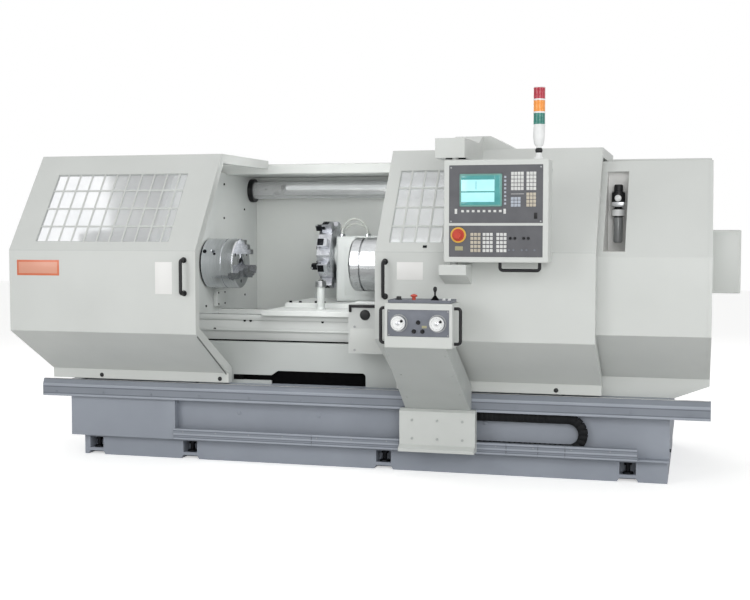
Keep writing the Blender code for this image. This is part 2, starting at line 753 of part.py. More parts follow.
def build_enclosure():
    """The fixed covers round the working space."""
    wall_back = BACK_WALL_BEHIND - SEAT
    roof = BEAM_BOTTOM - SEAT
    profile = door_outline(COVER_NEST, FLOOR_OF_COVERS, BEAM_BEHIND - SEAT)
    closed = profile + [(BEAM_BEHIND - SEAT, roof), (wall_back, roof), (wall_back, FLOOR_OF_COVERS)]
    wall = prism("inner_left_wall", closed, INNER_WALL_FACE - COVER_SKIN, INNER_WALL_FACE, "X",
                 PAINT_LIGHT)
    nose_hole = cylinder("spindle_hole", SPINDLE_NOSE_RADIUS + PAST, (INNER_WALL_FACE, 0, SPINDLE_HEIGHT),
                         COVER_SKIN * 4, "X", None)
    cut(wall, nose_hole)
    end_plate = prism("right_end_plate", closed, ENCLOSURE_RIGHT - COVER_SKIN, ENCLOSURE_RIGHT, "X",
                      PAINT_LIGHT)

    right = ENCLOSURE_RIGHT - COVER_SKIN - SEAT
    left = right - RIGHT_COVER_LENGTH
    cover = prism("right_cover", shell_outline(COVER_NEST, COVER_SKIN, FLOOR_OF_COVERS,
                                               BEAM_BEHIND - SEAT),
                  left, right, "X", PAINT_LIGHT)
    recess = box("air_recess_hole",
                 (AIR_RECESS_LEFT, -DOOR_AHEAD, AIR_RECESS_LOW),
                 (AIR_RECESS_LEFT + AIR_RECESS_WIDTH, -ROOF_AHEAD + COVER_SKIN,
                  AIR_RECESS_LOW + AIR_RECESS_HEIGHT), None)
    cut(cover, recess)
    build_air_unit(AIR_RECESS_LEFT + AIR_RECESS_WIDTH / 2)

    low = FLOOR_OF_COVERS
    corner = [(ENCLOSURE_RIGHT - COVER_CORNER_RUN, low - PAST), (ENCLOSURE_RIGHT + PAST, low - PAST),
              (ENCLOSURE_RIGHT + PAST, low + COVER_CORNER_RISE), (ENCLOSURE_RIGHT - COVER_CORNER_RUN, low)]
    trimmed = prism("cover_corner", corner, -DOOR_AHEAD, wall_back + PAST, "Y", None)
    cut(cover, trimmed)
    cut(end_plate, trimmed)

    box("left_rear_housing", (ENCLOSURE_LEFT, LEFT_HOUSING_BEHIND, FLOOR_OF_COVERS),
        (INNER_WALL_FACE - COVER_SKIN - SEAT, BASE_BEHIND, roof), PAINT_LIGHT, COVER_EDGE)
    box("back_wall", (INNER_WALL_FACE - COVER_SKIN, BACK_WALL_BEHIND, FLOOR_OF_COVERS),
        (ENCLOSURE_RIGHT, BASE_BEHIND, roof), PAINT_LIGHT, COVER_EDGE)
    box("rear_roof", (ENCLOSURE_LEFT, BEAM_BEHIND, BEAM_BOTTOM), (ENCLOSURE_RIGHT, BASE_BEHIND, BEAM_TOP),
        PAINT_LIGHT, COVER_EDGE)
    build_guard(INNER_WALL_FACE + SEAT, left - SEAT)

    box("end_box", (ENCLOSURE_RIGHT + SEAT, -BED_AHEAD, END_BOX_LOW),
        (ENCLOSURE_RIGHT + END_BOX_LENGTH, -BED_AHEAD + END_BOX_WIDTH, END_BOX_LOW + END_BOX_HEIGHT),
        PAINT_LIGHT, COVER_EDGE)
    build_work_lamp()


def build_guard(left, right):
    """The plate in front of the chip channel, with its low mouth and the narrow slot beside it."""
    front = -DOOR_STRIP_AHEAD + COVER_NEST
    guard = box("front_guard", (left, front, FLOOR_OF_COVERS),
                (right, front + GUARD_SKIN, FLOOR_OF_COVERS + GUARD_HEIGHT), PAINT_LIGHT)
    top = FLOOR_OF_COVERS + CHIP_MOUTH_HEIGHT
    slot_low = FLOOR_OF_COVERS + CHIP_SLOT_LIFT
    slot_top = slot_low + CHIP_SLOT_HEIGHT
    slot_left = CHIP_MOUTH_LEFT - CHIP_SLOT_LENGTH
    ramp = top - slot_top
    round_x = CHIP_MOUTH_RIGHT - CHIP_MOUTH_CORNER
    round_z = top - CHIP_MOUTH_CORNER
    corner = [(round_x + CHIP_MOUTH_CORNER * math.cos(turn), round_z + CHIP_MOUTH_CORNER * math.sin(turn))
              for turn in (0, math.pi / 8, math.pi / 4, math.pi * 3 / 8, math.pi / 2)]
    below = FLOOR_OF_COVERS - PAST
    outline = [
        (CHIP_MOUTH_LEFT, below), (CHIP_MOUTH_RIGHT, below), *corner,
        (CHIP_MOUTH_LEFT + ramp * CHIP_RAMP_RUN, top), (CHIP_MOUTH_LEFT, slot_top), (slot_left, slot_top),
        (slot_left, slot_low), (CHIP_MOUTH_LEFT, slot_low),
    ]
    mouth = prism("chip_mouth", outline, front - PAST, front + GUARD_SKIN + PAST, "Y", None)
    cut(guard, mouth)


def build_air_unit(middle):
    """The filter and regulator, turned in one, on a plate behind the right cover's opening."""
    slope = (ROOF_HEIGHT - UPPER_FOLD_HEIGHT) / (DOOR_AHEAD - ROOF_AHEAD)
    top = AIR_RECESS_LOW + AIR_RECESS_HEIGHT
    side = AIR_TRAY_SKIN
    profile = door_outline(COVER_NEST + COVER_SKIN + SEAT, 0)
    fold, roof = profile[3], profile[4]
    deep = roof[0] + side
    section = [
        (fold[0], fold[1]), (deep, fold[1]), (deep, top + side),
        (fold[0] + (top + side - fold[1]) / slope, top + side),
    ]
    tray = prism("air_unit_tray", section, AIR_RECESS_LEFT - side, AIR_RECESS_LEFT + AIR_RECESS_WIDTH + side,
                 "X", PAINT_LIGHT)
    hollow = box("air_unit_hollow", (AIR_RECESS_LEFT, -DOOR_AHEAD, AIR_RECESS_LOW),
                 (AIR_RECESS_LEFT + AIR_RECESS_WIDTH, deep - side, top), None)
    cut(tray, hollow)
    y = deep - side - SEAT - AIR_UNIT_SETBACK
    bowl_top = AIR_UNIT_LIFT + AIR_BOWL_LENGTH
    collar_top = bowl_top + AIR_KNOB_LENGTH
    body_low = collar_top + AIR_NECK_LENGTH
    body_top = body_low + AIR_BODY_LENGTH
    end = body_top + AIR_KNOB_LENGTH
    edge = AIR_UNIT_EDGE
    profile = [
        (AIR_UNIT_LIFT, 0), (AIR_UNIT_LIFT, AIR_BOWL_RADIUS - edge), (AIR_UNIT_LIFT + edge, AIR_BOWL_RADIUS),
        (bowl_top, AIR_BOWL_RADIUS), (bowl_top + edge, AIR_COLLAR_RADIUS), (collar_top, AIR_COLLAR_RADIUS),
        (collar_top + edge, AIR_NECK_RADIUS), (body_low, AIR_NECK_RADIUS),
        (body_low + edge, AIR_BODY_RADIUS), (body_top, AIR_BODY_RADIUS), (body_top, AIR_BOWL_RADIUS),
        (end - edge, AIR_BOWL_RADIUS), (end, AIR_NECK_RADIUS), (end, 0),
    ]
    unit = turned("air_unit", profile, (middle, y, AIR_RECESS_LOW), "Z", BLACK, 20)
    lug = box("air_unit_lug", (middle - AIR_NECK_RADIUS, y, AIR_RECESS_LOW + bowl_top + edge),
              (middle + AIR_NECK_RADIUS, y + AIR_UNIT_SETBACK, AIR_RECESS_LOW + collar_top), None)
    unite(unit, lug)


def build_work_lamp():
    """The tube lamp under the roof, between two round holders."""
    left = INNER_WALL_FACE + SEAT
    place = (LAMP_BEHIND, LAMP_HEIGHT)
    ends = (left + LAMP_RING_LENGTH / 2,
            left + LAMP_RING_LENGTH + LAMP_LENGTH + 2 * SEAT + LAMP_RING_LENGTH / 2)
    cylinder("lamp_holder_left", LAMP_RING_RADIUS, (ends[0], *place), LAMP_RING_LENGTH, "X", BLACK)
    holder = cylinder("lamp_holder_right", LAMP_RING_RADIUS, (ends[1], *place), LAMP_RING_LENGTH, "X", BLACK)
    hanger = box("lamp_hanger", (ends[1] - LAMP_RING_LENGTH / 2 + 0.004, LAMP_BEHIND - 0.03, LAMP_HEIGHT),
                 (ends[1] + LAMP_RING_LENGTH / 2 - 0.004, LAMP_BEHIND + 0.03, BEAM_BOTTOM - SEAT), None)
    unite(holder, hanger)
    cylinder("work_lamp", LAMP_RADIUS, ((ends[0] + ends[1]) / 2, *place), LAMP_LENGTH, "X", GLAZING)


def build_door(side, place, window_shift):
    """One sliding door: shell, glazing, pull handle and two rollers."""
    left = place - DOOR_LENGTH / 2
    right = place + DOOR_LENGTH / 2
    shell = prism(f"{side}_door_shell", shell_outline(0, DOOR_RIM, DOOR_BOTTOM, ROOF_BEHIND), left, right,
                  "X", PAINT_LIGHT)
    hollow = prism(f"{side}_door_hollow",
                   shell_outline(DOOR_SKIN, DOOR_RIM * 2, DOOR_BOTTOM - PAST, ROOF_BEHIND + PAST),
                   left + DOOR_RIM_LENGTH, right - DOOR_RIM_LENGTH, "X", None)
    cut(shell, hollow)

    rise = ROOF_HEIGHT - UPPER_FOLD_HEIGHT
    run = DOOR_AHEAD - ROOF_AHEAD
    slope = math.atan2(rise, run)
    middle = WINDOW_LIFT + WINDOW_HEIGHT / 2
    centre = (place + window_shift,
              -DOOR_AHEAD + middle * math.cos(slope) + DOOR_SKIN / 2 * math.sin(slope),
              UPPER_FOLD_HEIGHT + middle * math.sin(slope) - DOOR_SKIN / 2 * math.cos(slope))
    opening = box(f"{side}_window_hole", (-WINDOW_WIDTH / 2, -WINDOW_HEIGHT / 2, -DOOR_RIM),
                  (WINDOW_WIDTH / 2, WINDOW_HEIGHT / 2, DOOR_RIM), None)
    opening.rotation_euler = (slope, 0, 0)
    opening.location = centre
    cut(shell, opening)
    pane = box(f"{side}_door_window",
               (-WINDOW_WIDTH / 2 + SEAT, -WINDOW_HEIGHT / 2 + SEAT, -WINDOW_THICKNESS / 2),
               (WINDOW_WIDTH / 2 - SEAT, WINDOW_HEIGHT / 2 - SEAT, WINDOW_THICKNESS / 2), GLAZING)
    pane.rotation_euler = (slope, 0, 0)
    pane.location = centre

    pull_x = right - LEFT_PULL_INSET if side == "left" else left + RIGHT_PULL_INSET
    pull_handle(f"{side}_door_handle", (pull_x, -DOOR_AHEAD - SEAT, PULL_LOW), PULL_LENGTH, PULL_REACH)

    roller_y = -DOOR_STRIP_AHEAD + DOOR_SKIN + SEAT + ROLLER_WIDTH / 2
    roller_z = BASE_TOP + SEAT + ROLLER_RADIUS
    low = (left + ROLLER_INSET, roller_y - ROLLER_WIDTH / 2, roller_z - ROLLER_RADIUS / 2)
    high = (right - ROLLER_INSET, roller_y + ROLLER_WIDTH / 4, roller_z + ROLLER_RADIUS / 2)
    rollers = box(f"{side}_door_rollers", low, high, STEEL)
    for number, x in enumerate((left + ROLLER_INSET, right - ROLLER_INSET)):
        wheel = cylinder(f"{side}_roller_{number}", ROLLER_RADIUS, (x, roller_y, roller_z),
                         ROLLER_WIDTH, "Y",
                         None, 24)
        unite(rollers, wheel)


def pull_handle(name, foot, length, reach):
    """An upright bow handle whose two feet stand on a face that looks at the operator."""
    x, y, z = foot
    path = rounded_path([(x, y, z), (x, y - reach, z), (x, y - reach, z + length), (x, y, z + length)],
                        PULL_RADIUS * 1.5)
    return tube(name, path, PULL_RADIUS, BLACK)


def build_panel_carrier():
    """The arm on the right door's roof and the bracket on its front that hold the control panel."""
    axis_y = -PANEL_AXIS_AHEAD
    low = PANEL_LOW + PANEL_HEIGHT + PIVOT_LENGTH + SEAT
    slope = (ROOF_HEIGHT - UPPER_FOLD_HEIGHT) / (DOOR_AHEAD - ROOF_AHEAD)
    meet = -DOOR_AHEAD + (low - UPPER_FOLD_HEIGHT) / slope
    fit = SEAT * 1.5
    roof = ROOF_HEIGHT + SEAT
    hump_top = ROOF_HEIGHT + HUMP_RISE
    section = [
        (axis_y - ARM_NOSE, low), (axis_y - ARM_NOSE, low + ARM_HEIGHT), (-ARM_FLAT, low + ARM_HEIGHT),
        (-ROOF_AHEAD, hump_top), (-HUMP_AHEAD, hump_top), (-HUMP_AHEAD, roof),
        (-ROOF_AHEAD - fit, roof), (meet - fit, low),
    ]
    arm = prism("panel_arm", section, ARM_LEFT, ARM_LEFT + ARM_WIDTH, "X", PAINT_LIGHT)
    outline = [(HUMP_LEFT, roof), (HUMP_FLAT[0], hump_top), (HUMP_FLAT[1], hump_top), (HUMP_RIGHT, roof)]
    hump = prism("arm_hump", outline, -ROOF_AHEAD, -HUMP_AHEAD, "Y", None)
    unite(arm, hump)
    pin = cylinder("upper_pivot", PIVOT_RADIUS, (PANEL_AXIS_X, axis_y, low - PIVOT_LENGTH / 2 + PAST),
                   PIVOT_LENGTH + 2 * PAST - SEAT, "Z", None)
    unite(arm, pin)
    bracket_top = PANEL_LOW - PIVOT_LENGTH - SEAT
    nose = axis_y - PIVOT_RADIUS * 2.25
    section = [
        (-DOOR_AHEAD - SEAT, bracket_top - BRACKET_HEIGHT), (-DOOR_AHEAD - SEAT, bracket_top),
        (nose, bracket_top), (nose, bracket_top - BRACKET_HEIGHT / 2),
    ]
    bracket = prism("panel_bracket", section, PANEL_AXIS_X - BRACKET_WIDTH / 2,
                    PANEL_AXIS_X + BRACKET_WIDTH / 2, "X", PAINT_LIGHT)
    pin = cylinder("lower_pivot", PIVOT_RADIUS,
                   (PANEL_AXIS_X, axis_y, bracket_top + PIVOT_LENGTH / 2 - PAST),
                   PIVOT_LENGTH + 2 * PAST - SEAT, "Z", None)
    unite(bracket, pin)


def build_panel():
    """The swivelling control panel with its faces, screen, stop button, handle and lamp stack."""
    front = -PANEL_AHEAD
    right = PANEL_LEFT + PANEL_WIDTH
    top = PANEL_LOW + PANEL_HEIGHT
    housing = box("panel_housing", (PANEL_LEFT, front, PANEL_LOW), (right, front + PANEL_DEPTH, top),
                  PAINT_LIGHT, COVER_EDGE)
    inlay_left = PANEL_LEFT + PANEL_BORDER
    inlay_right = right - PANEL_BORDER
    split = top - PANEL_SPLIT
    spans = {"screen_panel": (split + PANEL_BAR / 2, top - PANEL_BORDER),
             "key_panel": (PANEL_LOW + PANEL_BORDER, split - PANEL_BAR / 2)}
    for name, (low, high) in spans.items():
        pocket = box(name + "_pocket", (inlay_left, front - PAST, low),
                     (inlay_right, front + PANEL_INLAY, high), None)
        cut(housing, pocket)
        box(name, (inlay_left + SEAT, front + PANEL_SINK, low + SEAT),
            (inlay_right - SEAT, front + PANEL_INLAY - SEAT, high - SEAT), PANEL_GREY)
    face = front + PANEL_SINK - SEAT
    screen_left = inlay_left + SCREEN_INSET
    screen_low = spans["screen_panel"][1] - SCREEN_DROP - SCREEN_HEIGHT
    box("screen", (screen_left, face - SCREEN_PROUD, screen_low),
        (screen_left + SCREEN_WIDTH, face, screen_low + SCREEN_HEIGHT), SCREEN_TEAL, SCREEN_PROUD / 4)
    cap, ring, neck = STOP_CAP_RADIUS, STOP_RING_RADIUS, STOP_CAP_RADIUS * 0.6
    profile = [(0, 0), (0, cap * 0.75), (0.004, cap), (0.012, cap), (0.017, neck), (0.027, neck),
               (0.028, ring - 0.002), (0.030, ring), (STOP_DEPTH, ring), (STOP_DEPTH, 0)]
    turned("emergency_stop", profile,
           (inlay_left + STOP_INSET, face - STOP_DEPTH, spans["key_panel"][1] - STOP_DROP), "Y", RED, 24)

    handle_y = front + PANEL_HANDLE_INSET
    ends = (right - PANEL_HANDLE_INSET - PANEL_HANDLE_LENGTH, right - PANEL_HANDLE_INSET)
    low = PANEL_LOW - SEAT
    path = rounded_path([(ends[0], handle_y, low), (ends[0], handle_y, low - PANEL_HANDLE_REACH),
                         (ends[1], handle_y, low - PANEL_HANDLE_REACH), (ends[1], handle_y, low)],
                        HANDLE_BEND)
    tube("panel_handle", path, HANDLE_RADIUS, BLACK)
    build_lamp_stack(top, front + PANEL_DEPTH / 2)


def build_lamp_stack(top, y):
    """The signal lamps on the panel's top: plate, ball joint, base and three lenses, turned in one."""
    radius = LAMP_STACK_RADIUS
    waist = radius - 0.002
    base = LAMP_STACK_STEM + LAMP_STACK_BASE
    profile = [(0, 0), (0, LAMP_STACK_FOOT), (0.006, LAMP_STACK_FOOT), (0.006, 0.012),
               (LAMP_STACK_STEM - 0.03, 0.012), (LAMP_STACK_STEM - 0.025, 0.02),
               (LAMP_STACK_STEM - 0.008, 0.02), (LAMP_STACK_STEM, 0.014), (LAMP_STACK_STEM, radius)]
    for lens in range(3):
        start = base + lens * LAMP_STACK_LENS
        profile += [(start - 0.003, radius), (start - 0.003, waist), (start, waist), (start, radius)]
    end = base + 3 * LAMP_STACK_LENS
    profile += [(end - 0.004, radius), (end, radius - 0.006), (end, 0)]
    turned("lamp_stack", profile, (LAMP_STACK_X, y, top + SEAT), "Z", WHITE, 24)


def build_console():
    """The hand console: foot on the rail, slanted column, box with two handwheels and side handles."""
    foot_left = CONSOLE_PLACE - FOOT_PLATE_SHIFT - FOOT_PLATE_WIDTH / 2
    foot_back = RAIL_FRONT - SEAT
    foot_front = foot_back - FOOT_PLATE_THICKNESS
    rail_low = BASE_TOP - RAIL_FLANGE_DROP
    foot_top = FOOT_PLATE_TOP
    section = [
        (foot_back, FOOT_PLATE_LOW), (foot_back, foot_top), (foot_front + COLUMN_SETBACK, foot_top),
        (foot_front, rail_low), (foot_front, FOOT_PLATE_LOW + FOOT_LIP_HEIGHT),
        (foot_front - FOOT_LIP_REACH, FOOT_PLATE_LOW + FOOT_LIP_HEIGHT / 2),
        (foot_front - FOOT_LIP_REACH, FOOT_PLATE_LOW),
    ]
    prism("console_foot", section, foot_left, foot_left + FOOT_PLATE_WIDTH, "X", PAINT_LIGHT)

    strip_foot, strip_top, fold = door_outline(-CONSOLE_DOOR_GAP, foot_top + SEAT)[:3]
    column_top = CONSOLE_BOX_LOW - SEAT
    slant = (strip_top, (fold[0] - strip_top[0], fold[1] - strip_top[1]))
    if fold[1] < column_top:
        behind = [fold, (fold[0], column_top)]
    else:
        behind = [crossing(slant, ((0, column_top), (1, 0)))]
    section = [strip_foot, strip_top, *behind, (-CONSOLE_AHEAD + COLUMN_SETBACK, column_top),
               (foot_front + COLUMN_SETBACK, foot_top + SEAT)]
    left = CONSOLE_PLACE - CONSOLE_COLUMN_LEFT
    column = prism("console_column", section, left, CONSOLE_PLACE + CONSOLE_COLUMN_RIGHT, "X", PAINT_SHADE)
    outline = [(left - PAST, foot_top), (left, foot_top), (left + CONSOLE_COLUMN_TAPER, column_top),
               (left + CONSOLE_COLUMN_TAPER, column_top + PAST), (left - PAST, column_top + PAST)]
    taper = prism("column_taper", outline, -CONSOLE_AHEAD - PAST, 0, "Y", None)
    cut(column, taper)
    build_console_head()


def build_console_head():
    """The console's box with its sunk face, tray, two handwheels and two side handles."""
    left = CONSOLE_PLACE + CONSOLE_BOX_OFFSET - CONSOLE_BOX_WIDTH / 2
    right = left + CONSOLE_BOX_WIDTH
    top = CONSOLE_BOX_LOW + CONSOLE_BOX_HEIGHT
    front = -CONSOLE_AHEAD
    body = box("console_box", (left, front, CONSOLE_BOX_LOW), (right, front + CONSOLE_BOX_DEPTH, top),
               PAINT_LIGHT, COVER_EDGE)
    face_low = CONSOLE_BOX_LOW + CONSOLE_FACE_LOW
    face_high = top - CONSOLE_FACE_DROP
    face = front + CONSOLE_FACE_DEPTH
    pocket = box("console_face_pocket", (left + CONSOLE_FACE_INSET, front - PAST, face_low),
                 (right - CONSOLE_FACE_INSET, face, face_high), None)
    cut(body, pocket)
    box("console_tray", (left + CONSOLE_TRAY_INSET, front + 2 * CONSOLE_TRAY_INSET, top + SEAT),
        (right - CONSOLE_TRAY_INSET, front + CONSOLE_BOX_DEPTH - 2 * CONSOLE_TRAY_INSET,
         top + CONSOLE_TRAY_HEIGHT), CONSOLE_GREY, CONSOLE_FACE_DEPTH / 2)
    middle = (left + right) / 2
    handle_y = front + SIDE_HANDLE_SETBACK
    handle_low = CONSOLE_BOX_LOW + SIDE_HANDLE_LOW
    for side, sign, edge in (("left", -1, left), ("right", 1, right)):
        handwheel(f"handwheel_{side}", middle + sign * HANDWHEEL_SPACING / 2, face - SEAT,
                  (face_low + face_high) / 2)
        foot = edge + sign * SEAT
        out = foot + sign * SIDE_HANDLE_REACH
        path = rounded_path([(foot, handle_y, handle_low), (out, handle_y, handle_low),
                             (out, handle_y, handle_low + SIDE_HANDLE_LENGTH),
                             (foot, handle_y, handle_low + SIDE_HANDLE_LENGTH)], HANDLE_BEND)
        tube(f"console_handle_{side}", path, HANDLE_RADIUS, BLACK)


def handwheel(name, x, back, z):
    """A dial handwheel: a hub on the face, a bevelled rim and a raised cap towards the operator."""
    radius = HANDWHEEL_RADIUS
    rim = HANDWHEEL_DEPTH - HANDWHEEL_GAP
    edge = HANDWHEEL_GAP / 2
    profile = [(0, 0), (0, radius * 0.55), (edge, radius * 0.6), (2 * edge, radius * 0.82),
               (3 * edge, radius), (rim - edge, radius), (rim, radius - edge), (rim, HANDWHEEL_HUB),
               (HANDWHEEL_DEPTH, HANDWHEEL_HUB), (HANDWHEEL_DEPTH, 0)]
    turned(name, profile, (x, back - HANDWHEEL_DEPTH, z), "Y", WHITE, 32)


def build_chuck():
    """The chuck: a turned body with T slots, key sockets and face screws, and three stepped jaws."""
    nose_left = INNER_WALL_FACE - COVER_SKIN
    back = CHUCK_LEFT - nose_left
    end = back + CHUCK_LENGTH
    groove = back + CHUCK_GROOVE_PLACE
    waist = CHUCK_RADIUS - CHUCK_GROOVE
    profile = [(0, 0), (0, SPINDLE_NOSE_RADIUS), (back, SPINDLE_NOSE_RADIUS),
               (back, CHUCK_RADIUS - CHUCK_EDGE), (back + CHUCK_EDGE, CHUCK_RADIUS),
               (groove, CHUCK_RADIUS), (groove, waist),
               (groove + 2 * CHUCK_GROOVE, waist), (groove + 2 * CHUCK_GROOVE, CHUCK_RADIUS),
               (end - CHUCK_EDGE, CHUCK_RADIUS), (end, CHUCK_RADIUS - CHUCK_EDGE), (end, 0)]
    body = turned("chuck", profile, (nose_left, 0, SPINDLE_HEIGHT), "X", CHROME, 40)
    bore = cylinder("chuck_bore", SPINDLE_BORE, (CHUCK_LEFT, 0, SPINDLE_HEIGHT), CHUCK_LENGTH * 3, "X",
                    None, 24)
    cut(body, bore)
    slot_floor = CHUCK_FACE - JAW_SLOT_DEPTH
    tongue = slot_floor + JAW_TONGUE_LOW
    key_x = CHUCK_LEFT + KEY_PLACE
    half_key = KEY_SOCKET_WIDTH / 2
    for number in range(1, JAW_COUNT + 1):
        turn = math.pi / 2 - 2 * math.pi * (number - 1) / JAW_COUNT
        between = turn + math.pi / JAW_COUNT
        cutters = [
            (turn, box(f"jaw_slot_{number}", (slot_floor, -JAW_WIDTH / 2, 0),
                       (CHUCK_FACE + PAST, JAW_WIDTH / 2, CHUCK_RADIUS + PAST), None)),
            (turn, box(f"tongue_slot_{number}", (tongue, -JAW_TONGUE_WIDTH / 2, 0),
                       (tongue + JAW_TONGUE_HEIGHT, JAW_TONGUE_WIDTH / 2, CHUCK_RADIUS + PAST), None)),
            (between, box(f"key_socket_{number}",
                          (key_x - half_key, -half_key, CHUCK_RADIUS - KEY_SOCKET_DEPTH),
                          (key_x + half_key, half_key, CHUCK_RADIUS + PAST), None)),
            (between, cylinder(f"key_bush_{number}", KEY_BUSH_RADIUS, (key_x, 0, CHUCK_RADIUS),
                               2 * KEY_BUSH_DEPTH, "Z", None, 20)),
            (between, cylinder(f"face_screw_{number}", FACE_SCREW_RADIUS, (CHUCK_FACE, 0, FACE_SCREW_CIRCLE),
                               2 * FACE_SCREW_DEPTH, "X", None, 16)),
        ]
        for angle, cutter in cutters:
            place_round_spindle(cutter, angle)
            cut(body, cutter)
        build_jaw(number, turn, slot_floor + SLIDE_FIT, tongue)


def build_jaw(number, turn, root, tongue):
    """One jaw: steps that fall towards the bore, on a body with a tongue in the chuck's T slot."""
    tip = CHUCK_FACE + JAW_REACH
    outline = [(root, JAW_INNER), (tip, JAW_INNER)]
    step_x = (JAW_REACH - PAST) / JAW_STEPS
    step_r = JAW_LENGTH / JAW_STEPS
    for step in range(JAW_STEPS):
        outline += [(tip - step * step_x, JAW_INNER + (step + 1) * step_r),
                    (tip - (step + 1) * step_x, JAW_INNER + (step + 1) * step_r)]
    outline[-1] = (root, JAW_INNER + JAW_LENGTH)
    half = JAW_WIDTH / 2 - SLIDE_FIT
    jaw = prism(f"chuck_jaw_{number}", outline, -half, half, "Y", STEEL)
    wing = JAW_TONGUE_WIDTH / 2 - SLIDE_FIT
    key = box(f"jaw_tongue_{number}", (tongue + SLIDE_FIT, -wing, JAW_INNER),
              (tongue + JAW_TONGUE_HEIGHT - SLIDE_FIT, wing, JAW_INNER + JAW_LENGTH), None)
    for shape in (jaw, key):
        place_round_spindle(shape, turn)
    unite(jaw, key)


def place_round_spindle(obj, turn):
    """Moves a shape built over the X axis to its angle round the spindle."""
    shift = Matrix.Translation((0, 0, SPINDLE_HEIGHT)) @ Matrix.Rotation(turn - math.pi / 2, 4, "X")
    obj.data.transform(shift @ obj.matrix_basis)
    obj.matrix_basis = Matrix.Identity(4)


def build_carriage():
    """Saddle, apron, cross slide, turret housing, tool disc and coolant hoses."""
    saddle = box("saddle", (SADDLE_LEFT, -SADDLE_AHEAD, SADDLE_BOTTOM),
                 (SADDLE_LEFT + SADDLE_LENGTH, SADDLE_BEHIND, SADDLE_TOP), PAINT_LIGHT)
    guard_front = -DOOR_STRIP_AHEAD + COVER_NEST
    over_guard = FLOOR_OF_COVERS + GUARD_HEIGHT + APRON_GAP
    section = [
        (-APRON_AHEAD, APRON_LOW), (-APRON_AHEAD, APRON_TOP), (-SADDLE_AHEAD - SEAT, APRON_TOP),
        (-SADDLE_AHEAD - SEAT, over_guard), (guard_front - APRON_GAP, over_guard),
        (guard_front - APRON_GAP, APRON_LOW),
    ]
    prism("apron", section, APRON_LEFT, APRON_LEFT + APRON_LENGTH, "X", PAINT_LIGHT)
    neck = PROBE_HEIGHT - PROBE_CAP_HEIGHT
    profile = [(0, 0), (0, PROBE_CAP_RADIUS), (PROBE_CAP_HEIGHT / 2, PROBE_RADIUS), (neck, PROBE_RADIUS),
               (neck, PROBE_CAP_RADIUS), (PROBE_HEIGHT - SLIDE_FIT * 4, PROBE_CAP_RADIUS),
               (PROBE_HEIGHT, PROBE_CAP_RADIUS - SLIDE_FIT * 4), (PROBE_HEIGHT, 0)]
    turned("tool_probe", profile, (PROBE_PLACE, -PROBE_AHEAD, SADDLE_TOP + SEAT), "Z", STEEL, 20)
    box("cross_slide", (CROSS_LEFT, -CROSS_AHEAD, CROSS_BOTTOM),
        (CROSS_LEFT + CROSS_LENGTH, CROSS_BEHIND, CROSS_TOP), PAINT_LIGHT)
    build_turret()


